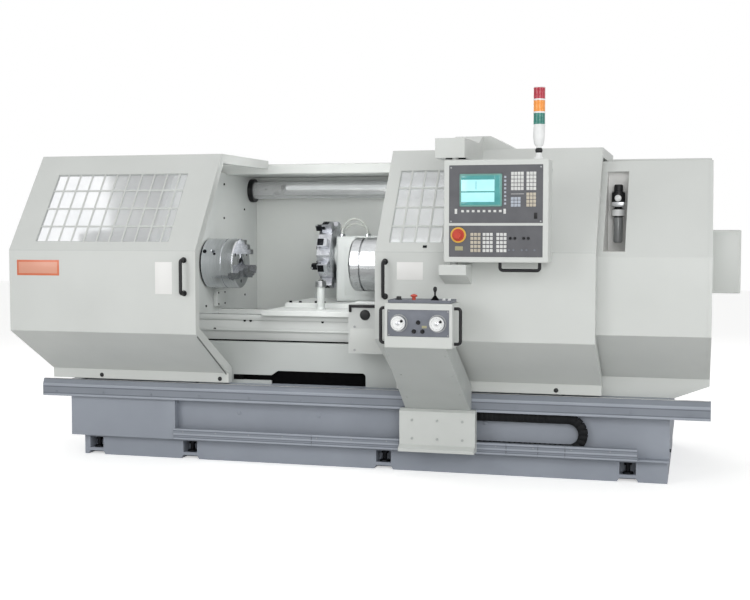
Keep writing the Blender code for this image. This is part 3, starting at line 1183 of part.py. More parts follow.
def build_turret():
    """The turret's housing with its slanted foot, the tool disc and the coolant hoses."""
    foot = CROSS_TOP + SEAT
    left = TURRET_LEFT + TURRET_LENGTH + TURRET_GAP
    right = left + TURRET_HOUSING_LENGTH
    housing = box("turret_housing", (left, -TURRET_HOUSING_AHEAD, foot),
                  (right, TURRET_WALL_BEHIND, TURRET_HOUSING_TOP), PAINT_LIGHT, TURRET_EDGE)
    wall_left = CROSS_LEFT + TURRET_WALL_FOOT
    outline = [
        (wall_left, foot), (right, foot), (right, TURRET_HOUSING_TOP), (TURRET_LEFT, TURRET_HOUSING_TOP),
        (TURRET_LEFT - 2 * TURRET_WALL_FOOT, SPINDLE_HEIGHT + TURRET_WALL_RISE),
        (wall_left, foot + TURRET_WALL_FOOT),
    ]
    wall = prism("turret_wall", outline, TURRET_WALL_BEHIND - PAST, CROSS_BEHIND - PAST, "Y", None)
    unite(housing, wall)
    boss = cylinder("turret_boss", TURRET_BOSS_RADIUS, (left, TURRET_BEHIND, TURRET_HEIGHT),
                    2 * (TURRET_GAP - SEAT), "X", None)
    unite(housing, boss)

    centre = (TURRET_LEFT + TURRET_LENGTH / 2, TURRET_BEHIND, TURRET_HEIGHT)
    step = 2 * math.pi / TOOL_STATIONS
    disc = cylinder("tool_disc", TURRET_RADIUS / math.cos(step / 2), centre, TURRET_LENGTH, "X", STEEL,
                    TOOL_STATIONS)
    hub = cylinder("turret_hub", TURRET_HUB_RADIUS, (TURRET_LEFT, TURRET_BEHIND, TURRET_HEIGHT),
                   2 * TURRET_HUB_REACH, "X", None, 24)
    unite(disc, hub)
    slot_low = TURRET_RADIUS + TOOL_SLOT_LIFT
    half = TOOL_BLOCK_LENGTH / 2
    for number in range(TOOL_STATIONS):
        block = box(f"tool_block_{number}", (-half, -TOOL_BLOCK_WIDTH / 2, TURRET_RADIUS - PAST),
                    (half, TOOL_BLOCK_WIDTH / 2, TURRET_RADIUS + TOOL_BLOCK_HEIGHT), None)
        slot = box(f"tool_slot_{number}", (-half - PAST, -TOOL_BLOCK_WIDTH, slot_low),
                   (-half + TOOL_SLOT_DEPTH, TOOL_BLOCK_WIDTH, slot_low + TOOL_SLOT_HEIGHT), None)
        place = Matrix.Translation(centre) @ Matrix.Rotation(step * (number + 0.5), 4, "X")
        for shape, join in ((block, unite), (slot, cut)):
            shape.data.transform(place @ shape.matrix_basis)
            shape.matrix_basis = Matrix.Identity(4)
            join(disc, shape)

    for number, rise in enumerate(HOSE_RISES, start=1):
        y = -TURRET_HOUSING_AHEAD + HOSE_SPACING * number
        low = TURRET_HOUSING_TOP + SEAT
        middle = left + HOSE_START + HOSE_REACH / 2
        points = [(middle - HOSE_REACH / 2, y, low)]
        steps = 14
        for i in range(steps + 1):
            turn = math.pi * i / steps
            points.append((middle - HOSE_REACH / 2 * math.cos(turn), y,
                           low + HOSE_RADIUS * 2 + rise * math.sin(turn)))
        points.append((middle + HOSE_REACH / 2, y, low))
        tube(f"coolant_hose_{number}", points, HOSE_RADIUS, PAINT_SHADE, 2)


def build_tailstock():
    """The tailstock casting and its polished nose."""
    foot = BED_TOP + SEAT
    left = TAILSTOCK_FOOT_LEFT
    right = left + TAILSTOCK_FOOT_LENGTH
    body = box("tailstock", (left, -TAILSTOCK_HALF_WIDTH, foot),
               (right, TAILSTOCK_HALF_WIDTH, foot + TAILSTOCK_FOOT_HEIGHT), PAINT_LIGHT)
    shoulder = foot + TAILSTOCK_FOOT_HEIGHT - PAST
    wide = TAILSTOCK_HALF_WIDTH - 2 * PAST
    section = [(-wide, shoulder), (wide, shoulder), (TAILSTOCK_WAIST, SPINDLE_HEIGHT),
               (-TAILSTOCK_WAIST, SPINDLE_HEIGHT)]
    column = prism("tailstock_column", section, left + 2 * PAST, right - 2 * PAST, "X", None)
    unite(body, column)
    head_left = TAILSTOCK_BODY_LEFT
    head = cylinder("tailstock_head", BARREL_RADIUS - PAST,
                    ((head_left + right) / 2, 0, SPINDLE_HEIGHT), right - head_left, "X", None, 40)
    unite(body, head)
    length = head_left - SEAT - BARREL_LEFT
    neck = BARREL_RADIUS - BARREL_EDGE
    profile = [(0, 0), (0, neck), (BARREL_EDGE, BARREL_RADIUS), (BARREL_BAND, BARREL_RADIUS),
               (BARREL_BAND, neck), (BARREL_BAND + BARREL_EDGE, neck),
               (BARREL_BAND + BARREL_EDGE, BARREL_RADIUS),
               (length - BARREL_EDGE, BARREL_RADIUS), (length, neck), (length, 0)]
    nose = turned("tailstock_nose", profile, (BARREL_LEFT, 0, SPINDLE_HEIGHT), "X", CHROME, 48)
    bore = cylinder("tailstock_bore", BARREL_BORE, (BARREL_LEFT, 0, SPINDLE_HEIGHT), length, "X", None, 24)
    cut(nose, bore)


def hang_moving_pieces():
    """Parents each sliding or swivelling piece to an empty on its joint's axis."""
    slide_front = -DOOR_STRIP_AHEAD
    groups = {
        "left_door_slide": ((LEFT_DOOR_PLACE, slide_front, DOOR_BOTTOM), ("left_door_",)),
        "right_door_slide": ((RIGHT_DOOR_PLACE, slide_front, DOOR_BOTTOM), ("right_door_", "panel_arm",
                                                                           "panel_bracket")),
        "panel_swivel": ((PANEL_AXIS_X, -PANEL_AXIS_AHEAD, PANEL_LOW),
                         ("panel_housing", "screen", "key_panel", "emergency_stop", "panel_handle",
                          "lamp_stack")),
        "console_slide": ((CONSOLE_PLACE, RAIL_FRONT, FOOT_PLATE_LOW), ("console_",)),
        "jaw_slides": ((CHUCK_FACE, 0, SPINDLE_HEIGHT), ("chuck_jaw_",)),
        "saddle_slide": ((SADDLE_LEFT, 0, BED_TOP), ("saddle", "apron", "tool_probe")),
        "cross_slide_way": ((CROSS_LEFT, TURRET_BEHIND, CROSS_BOTTOM), ("cross_slide", "turret_housing",
                                                                        "coolant_hose_")),
        "tailstock_slide": ((TAILSTOCK_FOOT_LEFT, 0, BED_TOP), ("tailstock",)),
    }
    for name, (place, starts) in groups.items():
        axis = bpy.data.objects.new(name, None)
        axis.location = place
        pieces = [piece for piece in LATHE.objects if piece.name.startswith(starts)]
        pieces = [piece for piece in pieces if piece.type == "MESH" and piece.name != "console_track"]
        LATHE.objects.link(axis)
        for piece in pieces:
            piece.parent = axis
            piece.matrix_parent_inverse = Matrix.Translation(place).inverted()


def build_all():
    """Builds the whole lathe."""
    start_scene()
    build_base()
    build_cable_chain()
    build_bed()
    build_headstock()
    build_enclosure()
    build_door("left", LEFT_DOOR_PLACE, LEFT_WINDOW_SHIFT)
    build_door("right", RIGHT_DOOR_PLACE, RIGHT_WINDOW_SHIFT)
    build_panel_carrier()
    build_panel()
    build_console()
    build_chuck()
    build_carriage()
    build_tailstock()
    hang_moving_pieces()


build_all()
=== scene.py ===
import math

import bmesh
import bpy
from mathutils import Matrix, Vector


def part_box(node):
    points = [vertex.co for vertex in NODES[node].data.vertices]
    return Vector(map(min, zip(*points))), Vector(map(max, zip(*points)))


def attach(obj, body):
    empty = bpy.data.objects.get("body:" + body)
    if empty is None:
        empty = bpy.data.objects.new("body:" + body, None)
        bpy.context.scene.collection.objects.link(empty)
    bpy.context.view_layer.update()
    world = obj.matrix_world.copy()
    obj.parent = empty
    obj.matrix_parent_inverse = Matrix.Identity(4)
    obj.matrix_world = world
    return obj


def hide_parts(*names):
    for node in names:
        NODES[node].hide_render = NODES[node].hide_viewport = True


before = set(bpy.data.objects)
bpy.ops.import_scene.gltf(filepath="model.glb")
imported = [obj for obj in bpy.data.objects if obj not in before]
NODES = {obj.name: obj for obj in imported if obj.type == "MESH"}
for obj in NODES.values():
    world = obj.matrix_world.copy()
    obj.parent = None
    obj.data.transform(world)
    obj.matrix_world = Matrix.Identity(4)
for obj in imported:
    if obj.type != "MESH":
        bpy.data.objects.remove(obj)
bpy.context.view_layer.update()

# Camera, fitted to the photograph's straight edges: metres, degrees and a lens in millimetres
CAMERA_PLACE = (1.8388, -6.7376, 1.3322)
CAMERA_TURN = 14.99
CAMERA_TILT = 3.425
CAMERA_LENS = 58.0

# Area lamps: place, target, size in metres and power in watts
LAMPS = {
    "key": ((3.0, -6.3, 2.7), (-0.2, 0.3, 1.0), 3.0, 122.0),
    "fill": ((-3.4, -6.0, 3.0), (-0.2, 0.0, 1.0), 3.0, 104.0),
    "top": ((0.0, -0.5, 5.5), (0.0, 0.0, 0.0), 4.0, 34.0),
    "side": ((6.5, -2.8, 1.8), (0.7, -0.6, 0.8), 2.0, 36.0),
    "back": ((-1.5, 6.5, 3.5), (0.0, 0.9, 0.9), 3.0, 90.0),
    # inside the doors' shells, so that a door that slides past it isn't lit from outside
    "opening": ((-0.2, -0.56, 1.38), (-0.35, 0.8, 1.12), 0.5, 5.2),
    # the machine's own work lamp, shining down on the bed
    "work": ((0.0, 0.42, 1.63), (-0.1, -0.1, 0.8), 1.2, 5.0),
}
WORK_LAMP_WIDTH = 0.2
# How strongly the world lights surfaces, and how much the floor glows towards the camera
WORLD_LIGHT = 0.42
FLOOR_LIFT = 0.5

# Faces and axes that several pieces are set against
DOOR_FRONT = -0.85
WALL_FACE = -1.0
LEFT_END = -1.82
RIGHT_END = 1.904
SPINDLE_HEIGHT = 1.12
TURRET_Y, TURRET_Z = 0.25, 1.17
FRONT, RIGHT, LEFT = (0, -1, 0), (1, 0, 0), (-1, 0, 0)

# The doors' upper slope: where it starts and how steep it is
FOLD = (0, DOOR_FRONT, 1.212)
SLOPE = math.atan2(0.528, 0.378)
ON_SLOPE = Matrix.Translation(FOLD) @ Matrix.Rotation(SLOPE, 4, "X")

# Window bars: half a bar's width, the columns along X, the rows and the pane's ends up the slope
BAR_HALF = 0.0045
WINDOW_COLUMNS = {
    "left": [-1.61 + 0.0755 * i for i in range(10)],
    "right": [0.387 + 0.07 * i for i in range(11)],
}
WINDOW_ROWS = (0.159, 0.279, 0.402)
WINDOW_FOOT, WINDOW_HEAD = 0.0553, 0.5147


def colour(hex_value):
    """An sRGB hex value as a linear colour."""
    parts = [int(hex_value[i:i + 2], 16) / 255 for i in (1, 3, 5)]
    linear = [v / 12.92 if v <= 0.04045 else ((v + 0.055) / 1.055) ** 2.4 for v in parts]
    return (*linear, 1.0)


def add(tree, kind, inputs=None, **settings):
    """Adds a shader node with its settings; an input is a value or another node's socket."""
    node = tree.nodes.new(kind)
    for name, value in settings.items():
        setattr(node, name, value)
    for name, value in (inputs or {}).items():
        if isinstance(value, bpy.types.NodeSocket):
            tree.links.new(value, node.inputs[name])
        else:
            node.inputs[name].default_value = value
    return node


def new_material(name):
    """A material with a Principled shader on it."""
    material = bpy.data.materials.new(name)
    material.use_nodes = True
    return material, material.node_tree, material.node_tree.nodes["Principled BSDF"]


def per_metre(millimetres):
    """A texture scale whose pattern repeats about every so many millimetres."""
    return 1000.0 / millimetres


def noise(tree, millimetres, detail=2.0, stretch=(1, 1, 1)):
    """Noise on Object coordinates with a grain of a real size."""
    place = add(tree, "ShaderNodeTexCoord").outputs["Object"]
    mapping = add(tree, "ShaderNodeMapping", {"Vector": place, "Scale": stretch})
    return add(tree, "ShaderNodeTexNoise", {"Vector": mapping.outputs["Vector"], "Detail": detail,
                                            "Scale": per_metre(millimetres)}).outputs["Fac"]


def spread(tree, value, low, high):
    """Noise spread between two values."""
    return add(tree, "ShaderNodeMapRange", {"Value": value, "From Min": 0.3, "From Max": 0.7, "To Min": low,
                                            "To Max": high}).outputs["Result"]


def tint(tree, value, first, second):
    """A colour that wanders between two hex colours."""
    mix = add(tree, "ShaderNodeMix", {"Factor": spread(tree, value, 0.0, 1.0)}, data_type="RGBA")
    mix.inputs["A"].default_value = colour(first)
    mix.inputs["B"].default_value = colour(second)
    return mix.outputs["Result"]


def bump(tree, shader, height, distance, strength=1.0):
    """Raises the surface by a height map, over a distance in metres."""
    made = add(tree, "ShaderNodeBump", {"Height": height, "Distance": distance, "Strength": strength})
    tree.links.new(made.outputs["Normal"], shader.inputs["Normal"])


def set_up_world():
    """A plain world: white to the camera, in glass and in reflections, weaker as a light."""
    world = bpy.data.worlds.new("studio")
    bpy.context.scene.world = world
    world.use_nodes = True
    tree = world.node_tree
    background = tree.nodes["Background"]
    ray = add(tree, "ShaderNodeLightPath").outputs
    seen = ray["Is Camera Ray"]
    for kind in ("Is Transmission Ray", "Is Glossy Ray"):
        seen = add(tree, "ShaderNodeMath", {0: seen, 1: ray[kind]}, operation="MAXIMUM").outputs["Value"]
    level = add(tree, "ShaderNodeMapRange", {"Value": seen, "To Min": WORLD_LIGHT, "To Max": 1.0})
    background.inputs["Color"].default_value = (1, 1, 1, 1)
    tree.links.new(level.outputs["Result"], background.inputs["Strength"])


def set_up_floor():
    """A pale floor that keeps the machine's shadow."""
    bpy.ops.mesh.primitive_plane_add(size=30, location=(0, 5, -0.0005))
    floor = bpy.context.object
    floor.name = "floor"
    material, tree, shader = new_material("pale_floor")
    shader.inputs["Base Color"].default_value = colour("#F4F4F3")
    shader.inputs["Roughness"].default_value = 0.9
    ray = add(tree, "ShaderNodeLightPath").outputs
    lift = add(tree, "ShaderNodeMath", {0: ray["Is Camera Ray"], 1: FLOOR_LIFT}, operation="MULTIPLY")
    shader.inputs["Emission Color"].default_value = (1, 1, 1, 1)
    tree.links.new(lift.outputs["Value"], shader.inputs["Emission Strength"])
    floor.data.materials.append(material)


def set_up_lamps():
    """Area lamps that light the machine and stay out of sight."""
    for name, (place, target, size, power) in LAMPS.items():
        light = bpy.data.lights.new(name, "AREA")
        light.size = size
        light.energy = power
        lamp = bpy.data.objects.new(name, light)
        lamp.visible_camera = False
        lamp.visible_transmission = False
        if name == "work":
            light.shape = "RECTANGLE"
            light.size_y = WORK_LAMP_WIDTH
            lamp.visible_glossy = False
        lamp.location = place
        lamp.rotation_euler = (Vector(target) - Vector(place)).to_track_quat("-Z", "Y").to_euler()
        bpy.context.scene.collection.objects.link(lamp)


def set_up_camera():
    """The camera at the photograph's angle."""
    scene = bpy.context.scene
    scene.view_settings.view_transform = "Standard"
    camera = bpy.data.objects.new("camera", bpy.data.cameras.new("camera"))
    camera.data.lens = CAMERA_LENS
    camera.location = CAMERA_PLACE
    camera.rotation_euler = (math.radians(90 - CAMERA_TILT), 0, math.radians(CAMERA_TURN))
    scene.collection.objects.link(camera)
    scene.camera = camera


def mottled(name, hex_value, darker, patches, rough_patches, low, high, detail=2.0):
    """A material whose colour and roughness wander in patches of so many millimetres."""
    material, tree, shader = new_material(name)
    tree.links.new(tint(tree, noise(tree, patches, detail), hex_value, darker), shader.inputs["Base Color"])
    tree.links.new(spread(tree, noise(tree, rough_patches), low, high), shader.inputs["Roughness"])
    return material, tree, shader


def powder_coat(name, hex_value, darker, sheen=0.40):
    """Polyester powder coat on folded sheet steel: satin, with a faint orange peel."""
    material, tree, shader = mottled(name, hex_value, darker, 420, 90, sheen - 0.05, sheen + 0.06, 3)
    # orange peel is 1 to 2 mm wide, drawn at 5 mm so that it shows
    bump(tree, shader, noise(tree, 5, 1), 0.0003, 0.35)
    return material


def cast_enamel(name, hex_value, darker):
    """Enamel on cast iron: filled and sprayed, so it is slightly wavy and duller than powder coat."""
    material, tree, shader = mottled(name, hex_value, darker, 300, 60, 0.42, 0.56, 4)
    # casting waves of about 25 mm under the paint, with a finer spray texture of 4 mm
    both = add(tree, "ShaderNodeMath", {0: noise(tree, 25), 1: noise(tree, 4, 1)}, operation="ADD")
    bump(tree, shader, both.outputs["Value"], 0.0004, 0.4)
    return material


def machined_steel(name, hex_value, darker, stretch, grain, low, high, depth=0.5):
    """Machined or ground steel: metallic, with fine tool marks drawn out along the cut."""
    material, tree, shader = new_material(name)
    marks = noise(tree, grain, 2, stretch)
    tree.links.new(tint(tree, marks, hex_value, darker), shader.inputs["Base Color"])
    tree.links.new(spread(tree, marks, low, high), shader.inputs["Roughness"])
    shader.inputs["Metallic"].default_value = 1.0
    bump(tree, shader, marks, 0.00008, depth)
    return material


def moulded_plastic(name, hex_value, darker, low=0.38, high=0.5, grain=2.5, ior=1.53):
    """Moulded ABS or nylon: one colour with a fine spark-eroded grain."""
    material, tree, shader = mottled(name, hex_value, darker, 60, 25, low, high)
    shader.inputs["IOR"].default_value = ior
    # the real grain is about 0.5 mm, drawn coarser so that it shows
    bump(tree, shader, noise(tree, grain, 1), 0.0001, 0.4)
    return material


def glowing(shader, hex_value, glow):
    """Lets a surface give a little light of its own."""
    shader.inputs["Emission Color"].default_value = colour(hex_value)
    shader.inputs["Emission Strength"].default_value = glow


def lens_plastic(name, hex_value, darker, glow):
    """Acrylic signal lens with a glossy coat, lit faintly from inside."""
    material, _, shader = mottled(name, hex_value, darker, 30, 12, 0.12, 0.2)
    shader.inputs["IOR"].default_value = 1.49
    shader.inputs["Coat Weight"].default_value = 0.6
    glowing(shader, hex_value, glow)
    return material


def polycarbonate(name, hex_value, darker, clear, glow):
    """Polycarbonate sheet with a faint haze of coolant mist: lets part of the light through, and gives a
    faint glow of its own, which is painted light.
    """
    material, _, shader = mottled(name, hex_value, darker, 160, 70, 0.08, 0.16, 3)
    shader.inputs["IOR"].default_value = 1.58
    shader.inputs["Transmission Weight"].default_value = clear
    glowing(shader, hex_value, glow)
    return material


def lit_display(name, hex_value, darker, glow):
    """Backlit display film: smooth and slightly uneven in its light."""
    material, _, shader = mottled(name, hex_value, darker, 45, 15, 0.1, 0.16)
    glowing(shader, hex_value, glow)
    return material


def braided_hose(name, hex_value, darker):
    """Steel-braided coolant hose: crossed strands about 1 mm wide, drawn at 3 mm so that they show."""
    material, tree, shader = new_material(name)
    place = add(tree, "ShaderNodeTexCoord").outputs["Object"]
    strands = []
    for angle in (0.8, -0.8):
        turned_place = add(tree, "ShaderNodeMapping", {"Vector": place, "Rotation": (0, angle, 0)})
        wave = add(tree, "ShaderNodeTexWave", {"Vector": turned_place.outputs["Vector"],
                                               "Scale": per_metre(3) / 6.3})
        strands.append(wave.outputs["Fac"])
    weave = add(tree, "ShaderNodeMath", {0: strands[0], 1: strands[1]}, operation="MAXIMUM")
    mix = add(tree, "ShaderNodeMix", {"Factor": weave.outputs["Value"]}, data_type="RGBA")
    mix.inputs["A"].default_value = colour(darker)
    mix.inputs["B"].default_value = colour(hex_value)
    tree.links.new(mix.outputs["Result"], shader.inputs["Base Color"])
    shader.inputs["Metallic"].default_value = 0.5
    shader.inputs["Roughness"].default_value = 0.42
    bump(tree, shader, weave.outputs["Value"], 0.0004, 0.6)
    return material


set_up_world()
set_up_floor()
set_up_lamps()
set_up_camera()

COVER_PAINT = powder_coat("light_grey_powder_coat", "#CFD2CF", "#CACDCA")
INSIDE_PAINT = powder_coat("light_grey_powder_coat_inside", "#C9CCCA", "#C2C6C4")
# painted shade: a darker copy of the cover paint, for covers, grooves, seams and vents that should read as
# in shade
SHADE_PAINT = powder_coat("grey_powder_coat_painted_shade", "#B9BDBB", "#B2B6B4")
BASE_PAINT = cast_enamel("blue_grey_enamel", "#9AA0AA", "#9298A2")
RAIL_PAINT = cast_enamel("light_blue_grey_enamel", "#868C95", "#7F858E")
# painted highlight: a lighter copy of the enamel on the lips of the rail and track
LIP_HIGHLIGHT_PAINT = cast_enamel("blue_grey_enamel_painted_highlight", "#A2A8B2", "#9AA0AA")
# painted shade: a darker copy of the enamel in the grooves of the rail and track
GROOVE_SHADE_PAINT = cast_enamel("blue_grey_enamel_painted_shade", "#6E747E", "#666C76")
CASTING_PAINT = cast_enamel("light_grey_enamel", "#CCCFCD", "#C5C8C6")
GROUND_STEEL = machined_steel("ground_steel", "#B5B7B8", "#9C9EA0", (0.05, 1, 1), 3, 0.24, 0.36)
TURNED_STEEL = machined_steel("turned_chuck_steel", "#D9DBDE", "#CACCD0", (1, 0.04, 0.04), 6, 0.18, 0.26,
                              depth=0.12)
DISC_STEEL = machined_steel("nickelled_tool_disc", "#BDBFC3", "#9A9CA1", (1, 1, 1), 30, 0.26, 0.36)
JAW_STEEL = machined_steel("hardened_jaw_steel", "#A4A6A9", "#86888B", (1, 1, 1), 8, 0.36, 0.48)
BLACK_OXIDE = machined_steel("black_oxide_steel", "#26272A", "#191A1C", (1, 1, 1), 8, 0.32, 0.45)
BLACK_PLASTIC = moulded_plastic("black_moulded_nylon", "#141518", "#0E0F11", ior=1.42)
CHAIN_PLASTIC = moulded_plastic("black_chain_nylon", "#0D1013", "#080A0C", 0.5, 0.65, ior=1.3)
# black rubber, and also the black of painted shade in gaps, behind the chip mouth and under the bed's slope
RUBBER_AND_SHADE_BLACK = moulded_plastic("black_rubber_and_painted_shade", "#060607", "#030304", 0.75, 0.9, 5, 1.18)
# painted shade: the dark grey strip on the left door's open end, where its hollow is in shade
HOLLOW_SHADE_GREY = moulded_plastic("grey_painted_shade_on_door_end", "#6F7371", "#666A68", 0.6, 0.75, 5)
PANEL_GREY = moulded_plastic("dark_grey_keypad_film", "#5B5C60", "#535458", 0.46, 0.56, 4)
CONSOLE_GREY = moulded_plastic("blue_grey_console_film", "#747881", "#6A6E77", 0.44, 0.54, 4)
KEY_WHITE = moulded_plastic("white_key_caps", "#DADBD9", "#CFD0CE", 0.35, 0.45, 2)
KEY_BEIGE = moulded_plastic("beige_key_caps", "#C6BEAE", "#B8AF9E", 0.35, 0.45, 2)
KEY_LILAC = moulded_plastic("lilac_grey_key_caps", "#B4BBC6", "#A6ADB8", 0.35, 0.45, 2)
WHITE_PLASTIC = moulded_plastic("white_moulded_abs", "#EDEEEE", "#E2E4E4", 0.3, 0.42, 3)
RED_PLASTIC = moulded_plastic("red_moulded_abs", "#C8452F", "#B83A27", 0.28, 0.4, 3)
YELLOW_PLASTIC = moulded_plastic("yellow_ring_abs", "#E3B64A", "#D6A83E", 0.32, 0.44, 3)
ORANGE_PLATE = powder_coat("orange_red_enamel_plate", "#DB7A57", "#D06E4A", 0.34)
PALE_ORANGE = powder_coat("pale_orange_enamel_field", "#DFA18A", "#D89A83", 0.34)
WHITE_PLATE = powder_coat("white_enamel_plate", "#ECECEA", "#E3E3E1", 0.34)
PALE_BRASS = powder_coat("pale_yellow_plate", "#A9A583", "#9D9977", 0.4)
# the panes' faint glow is painted light
GLAZING = polycarbonate("polycarbonate_window", "#F5F6F7", "#EDEFF1", 0.85, 0.08)
LAMP_TUBE = polycarbonate("lamp_cover_tube", "#DDDFDF", "#D0D3D3", 0.7, 0.05)
BOWL = polycarbonate("filter_bowl", "#B9BCBD", "#A6A9AB", 0.35, 0.0)
LAMP_GLOW = lit_display("fluorescent_lamp", "#FBFCFD", "#F3F5F7", 0.9)
DISPLAY_EDGE = moulded_plastic("teal_display_bezel", "#6FA39B", "#66998F", 0.3, 0.4, 4)
DISPLAY_LIGHT = lit_display("display_light_area", "#A9E6EA", "#9DDDE2", 0.35)
DISPLAY_BAND = lit_display("display_band", "#4E9B9A", "#478F8F", 0.12)
LENS_RED = lens_plastic("red_signal_lens", "#B5213A", "#A51A32", 0.06)
LENS_AMBER = lens_plastic("amber_signal_lens", "#F09A3C", "#E48E30", 0.08)
LENS_GREEN = lens_plastic("green_signal_lens", "#1F7F72", "#187266", 0.06)
HOSE = braided_hose("braided_steel_hose", "#B8BBB6", "#8E918C")

NODE_FINISH = {
    BASE_PAINT: ("plinth", "base_casting"),
    RAIL_PAINT: ("door_rail", "console_track"),
    CHAIN_PLASTIC: ("cable_chain",),
    CASTING_PAINT: ("bed", "headstock", "saddle", "cross_slide", "tailstock", "apron"),
    JAW_STEEL: ("chuck_jaw_1", "chuck_jaw_2", "chuck_jaw_3"),
    GROUND_STEEL: ("tailstock_nose",),
    TURNED_STEEL: ("chuck",),
    DISC_STEEL: ("tool_disc",),
    INSIDE_PAINT: ("inner_left_wall", "back_wall"),
    WHITE_PLATE: ("air_unit_tray",),
    # painted shade: the column, guard, probe and turret housing take the darker copy of the cover paint
    SHADE_PAINT: ("console_column", "front_guard", "tool_probe", "turret_housing"),
    GLAZING: ("left_door_window", "right_door_window"),
    BLACK_PLASTIC: ("left_door_handle", "right_door_handle", "panel_handle", "console_handle_left",
                    "console_handle_right", "left_door_rollers", "right_door_rollers", "lamp_holder_left",
                    "lamp_holder_right", "air_unit"),
    PANEL_GREY: ("screen_panel", "key_panel"),
    CONSOLE_GREY: ("console_tray",),
    DISPLAY_EDGE: ("screen",),
    RED_PLASTIC: ("emergency_stop",),
    WHITE_PLASTIC: ("handwheel_left", "handwheel_right"),
    HOSE: ("coolant_hose_1", "coolant_hose_2"),
    LAMP_TUBE: ("work_lamp",),
}
FINISH = {name: material for material, names in NODE_FINISH.items() for name in names}
for name, node in NODES.items():
    node.data.materials.clear()
    node.data.materials.append(FINISH.get(name, COVER_PAINT))


def clear_selection():
    """Leaves edit mode and deselects everything."""
    if bpy.context.object and bpy.context.object.mode != "OBJECT":
        bpy.ops.object.mode_set(mode="OBJECT")
    bpy.ops.object.select_all(action="DESELECT")


def work_on(obj):
    """Makes one object the only selected and active one."""
    clear_selection()
    obj.select_set(True)
    bpy.context.view_layer.objects.active = obj
    return obj


def modify(obj, kind, **settings):
    """Adds a modifier and applies it."""
    work_on(obj)
    step = obj.modifiers.new(kind.lower(), kind)
    for name, value in settings.items():
        setattr(step, name, value)
    bpy.ops.object.modifier_apply(modifier=step.name)
    return obj


def settle(obj):
    """Applies the object's place, turn and scale to its mesh."""
    work_on(obj)
    bpy.ops.object.transform_apply(location=True, rotation=True, scale=True)
    return obj


def block(low, high, edge=0.001):
    """A box between two corners, with its edges rounded over."""
    clear_selection()
    size = [b - a for a, b in zip(low, high)]
    centre = [(a + b) / 2 for a, b in zip(low, high)]
    bpy.ops.mesh.primitive_cube_add(size=1, location=centre, scale=size)
    obj = settle(bpy.context.object)
    return modify(obj, "BEVEL", width=min(edge, min(size) * 0.45), segments=2)


TURNS = {"X": (0, math.pi / 2, 0), "Y": (math.pi / 2, 0, 0), "Z": (0, 0, 0)}
# faces that meet at less than this angle are shaded as one round surface
SMOOTH_BELOW = math.radians(35)


def bar(radius, length, centre, axis="Z", edge=0.001, sides=24):
    """A round bar about its centre, with its rims rounded over."""
    clear_selection()
    bpy.ops.mesh.primitive_cylinder_add(vertices=sides, radius=radius, depth=length, location=centre,
                                        rotation=TURNS[axis])
    obj = settle(bpy.context.object)
    return modify(obj, "BEVEL", width=min(edge, length * 0.4, radius * 0.4), segments=2,
                  limit_method="ANGLE", angle_limit=math.radians(50))


def drawn(corners):
    """An open chain of edges through a list of corners, left in edit mode."""
    clear_selection()
    bpy.ops.mesh.primitive_plane_add(size=0.01, location=(0, 0, 0))
    bpy.ops.object.mode_set(mode="EDIT")
    bpy.ops.mesh.merge(type="CENTER")
    bpy.ops.transform.translate(value=corners[0])
    for start, end in zip(corners, corners[1:]):
        step = [b - a for a, b in zip(start, end)]
        bpy.ops.mesh.extrude_vertices_move(TRANSFORM_OT_translate={"value": step})
    bpy.ops.mesh.select_all(action="SELECT")


def spun(outline, centre, axis="Z", sides=32):
    """Draws an outline of (radius, height) corners and spins it round an axis."""
    drawn([(radius, 0, height) for radius, height in outline])
    bpy.ops.mesh.spin(steps=sides, angle=2 * math.pi, center=(0, 0, 0), axis=(0, 0, 1))
    bpy.ops.mesh.select_all(action="SELECT")
    bpy.ops.mesh.remove_doubles(threshold=0.00001)
    bpy.ops.mesh.normals_make_consistent(inside=False)
    bpy.ops.object.mode_set(mode="OBJECT")
    obj = bpy.context.object
    obj.location = centre
    obj.rotation_euler = TURNS[axis]
    return settle(obj)


def strip_on_end(outline, x, thickness):
    """A flat strip of (y, z) corners, pushed into a door's end by a thickness."""
    drawn([(x, y, z) for y, z in outline])
    bpy.ops.mesh.edge_face_add()
    bpy.ops.mesh.extrude_region_move(TRANSFORM_OT_translate={"value": (-thickness, 0, 0)})
    bpy.ops.mesh.select_all(action="SELECT")
    bpy.ops.mesh.normals_make_consistent(inside=False)
    bpy.ops.object.mode_set(mode="OBJECT")
    return bpy.context.object


def socket_screw(radius, height):
    """A socket head screw standing at the origin with its round socket on top."""
    clear_selection()
    bpy.ops.mesh.primitive_cylinder_add(vertices=18, radius=radius, depth=height,
                                        location=(0, 0, height / 2))
    obj = settle(bpy.context.object)
    bpy.ops.object.mode_set(mode="EDIT")
    shape = bmesh.from_edit_mesh(obj.data)
    for face in shape.faces:
        face.select_set(face.normal.z > 0.9)
    bmesh.update_edit_mesh(obj.data)
    bpy.ops.mesh.inset(thickness=radius * 0.45, depth=0)
    bpy.ops.mesh.inset(thickness=radius * 0.03, depth=-height * 0.55)
    bpy.ops.object.mode_set(mode="OBJECT")
    return obj


def joined(pieces):
    """Joins modelled shapes into one piece."""
    clear_selection()
    for piece in pieces:
        piece.select_set(True)
    bpy.context.view_layer.objects.active = pieces[0]
    if len(pieces) > 1:
        bpy.ops.object.join()
    return pieces[0]


def facing(place, axis):
    """A matrix that stands a piece drawn up +Z at a place, turned to point along an axis."""
    way = Vector(axis).to_track_quat("Z", "Y").to_matrix().to_4x4()
    return Matrix.Translation(place) @ way


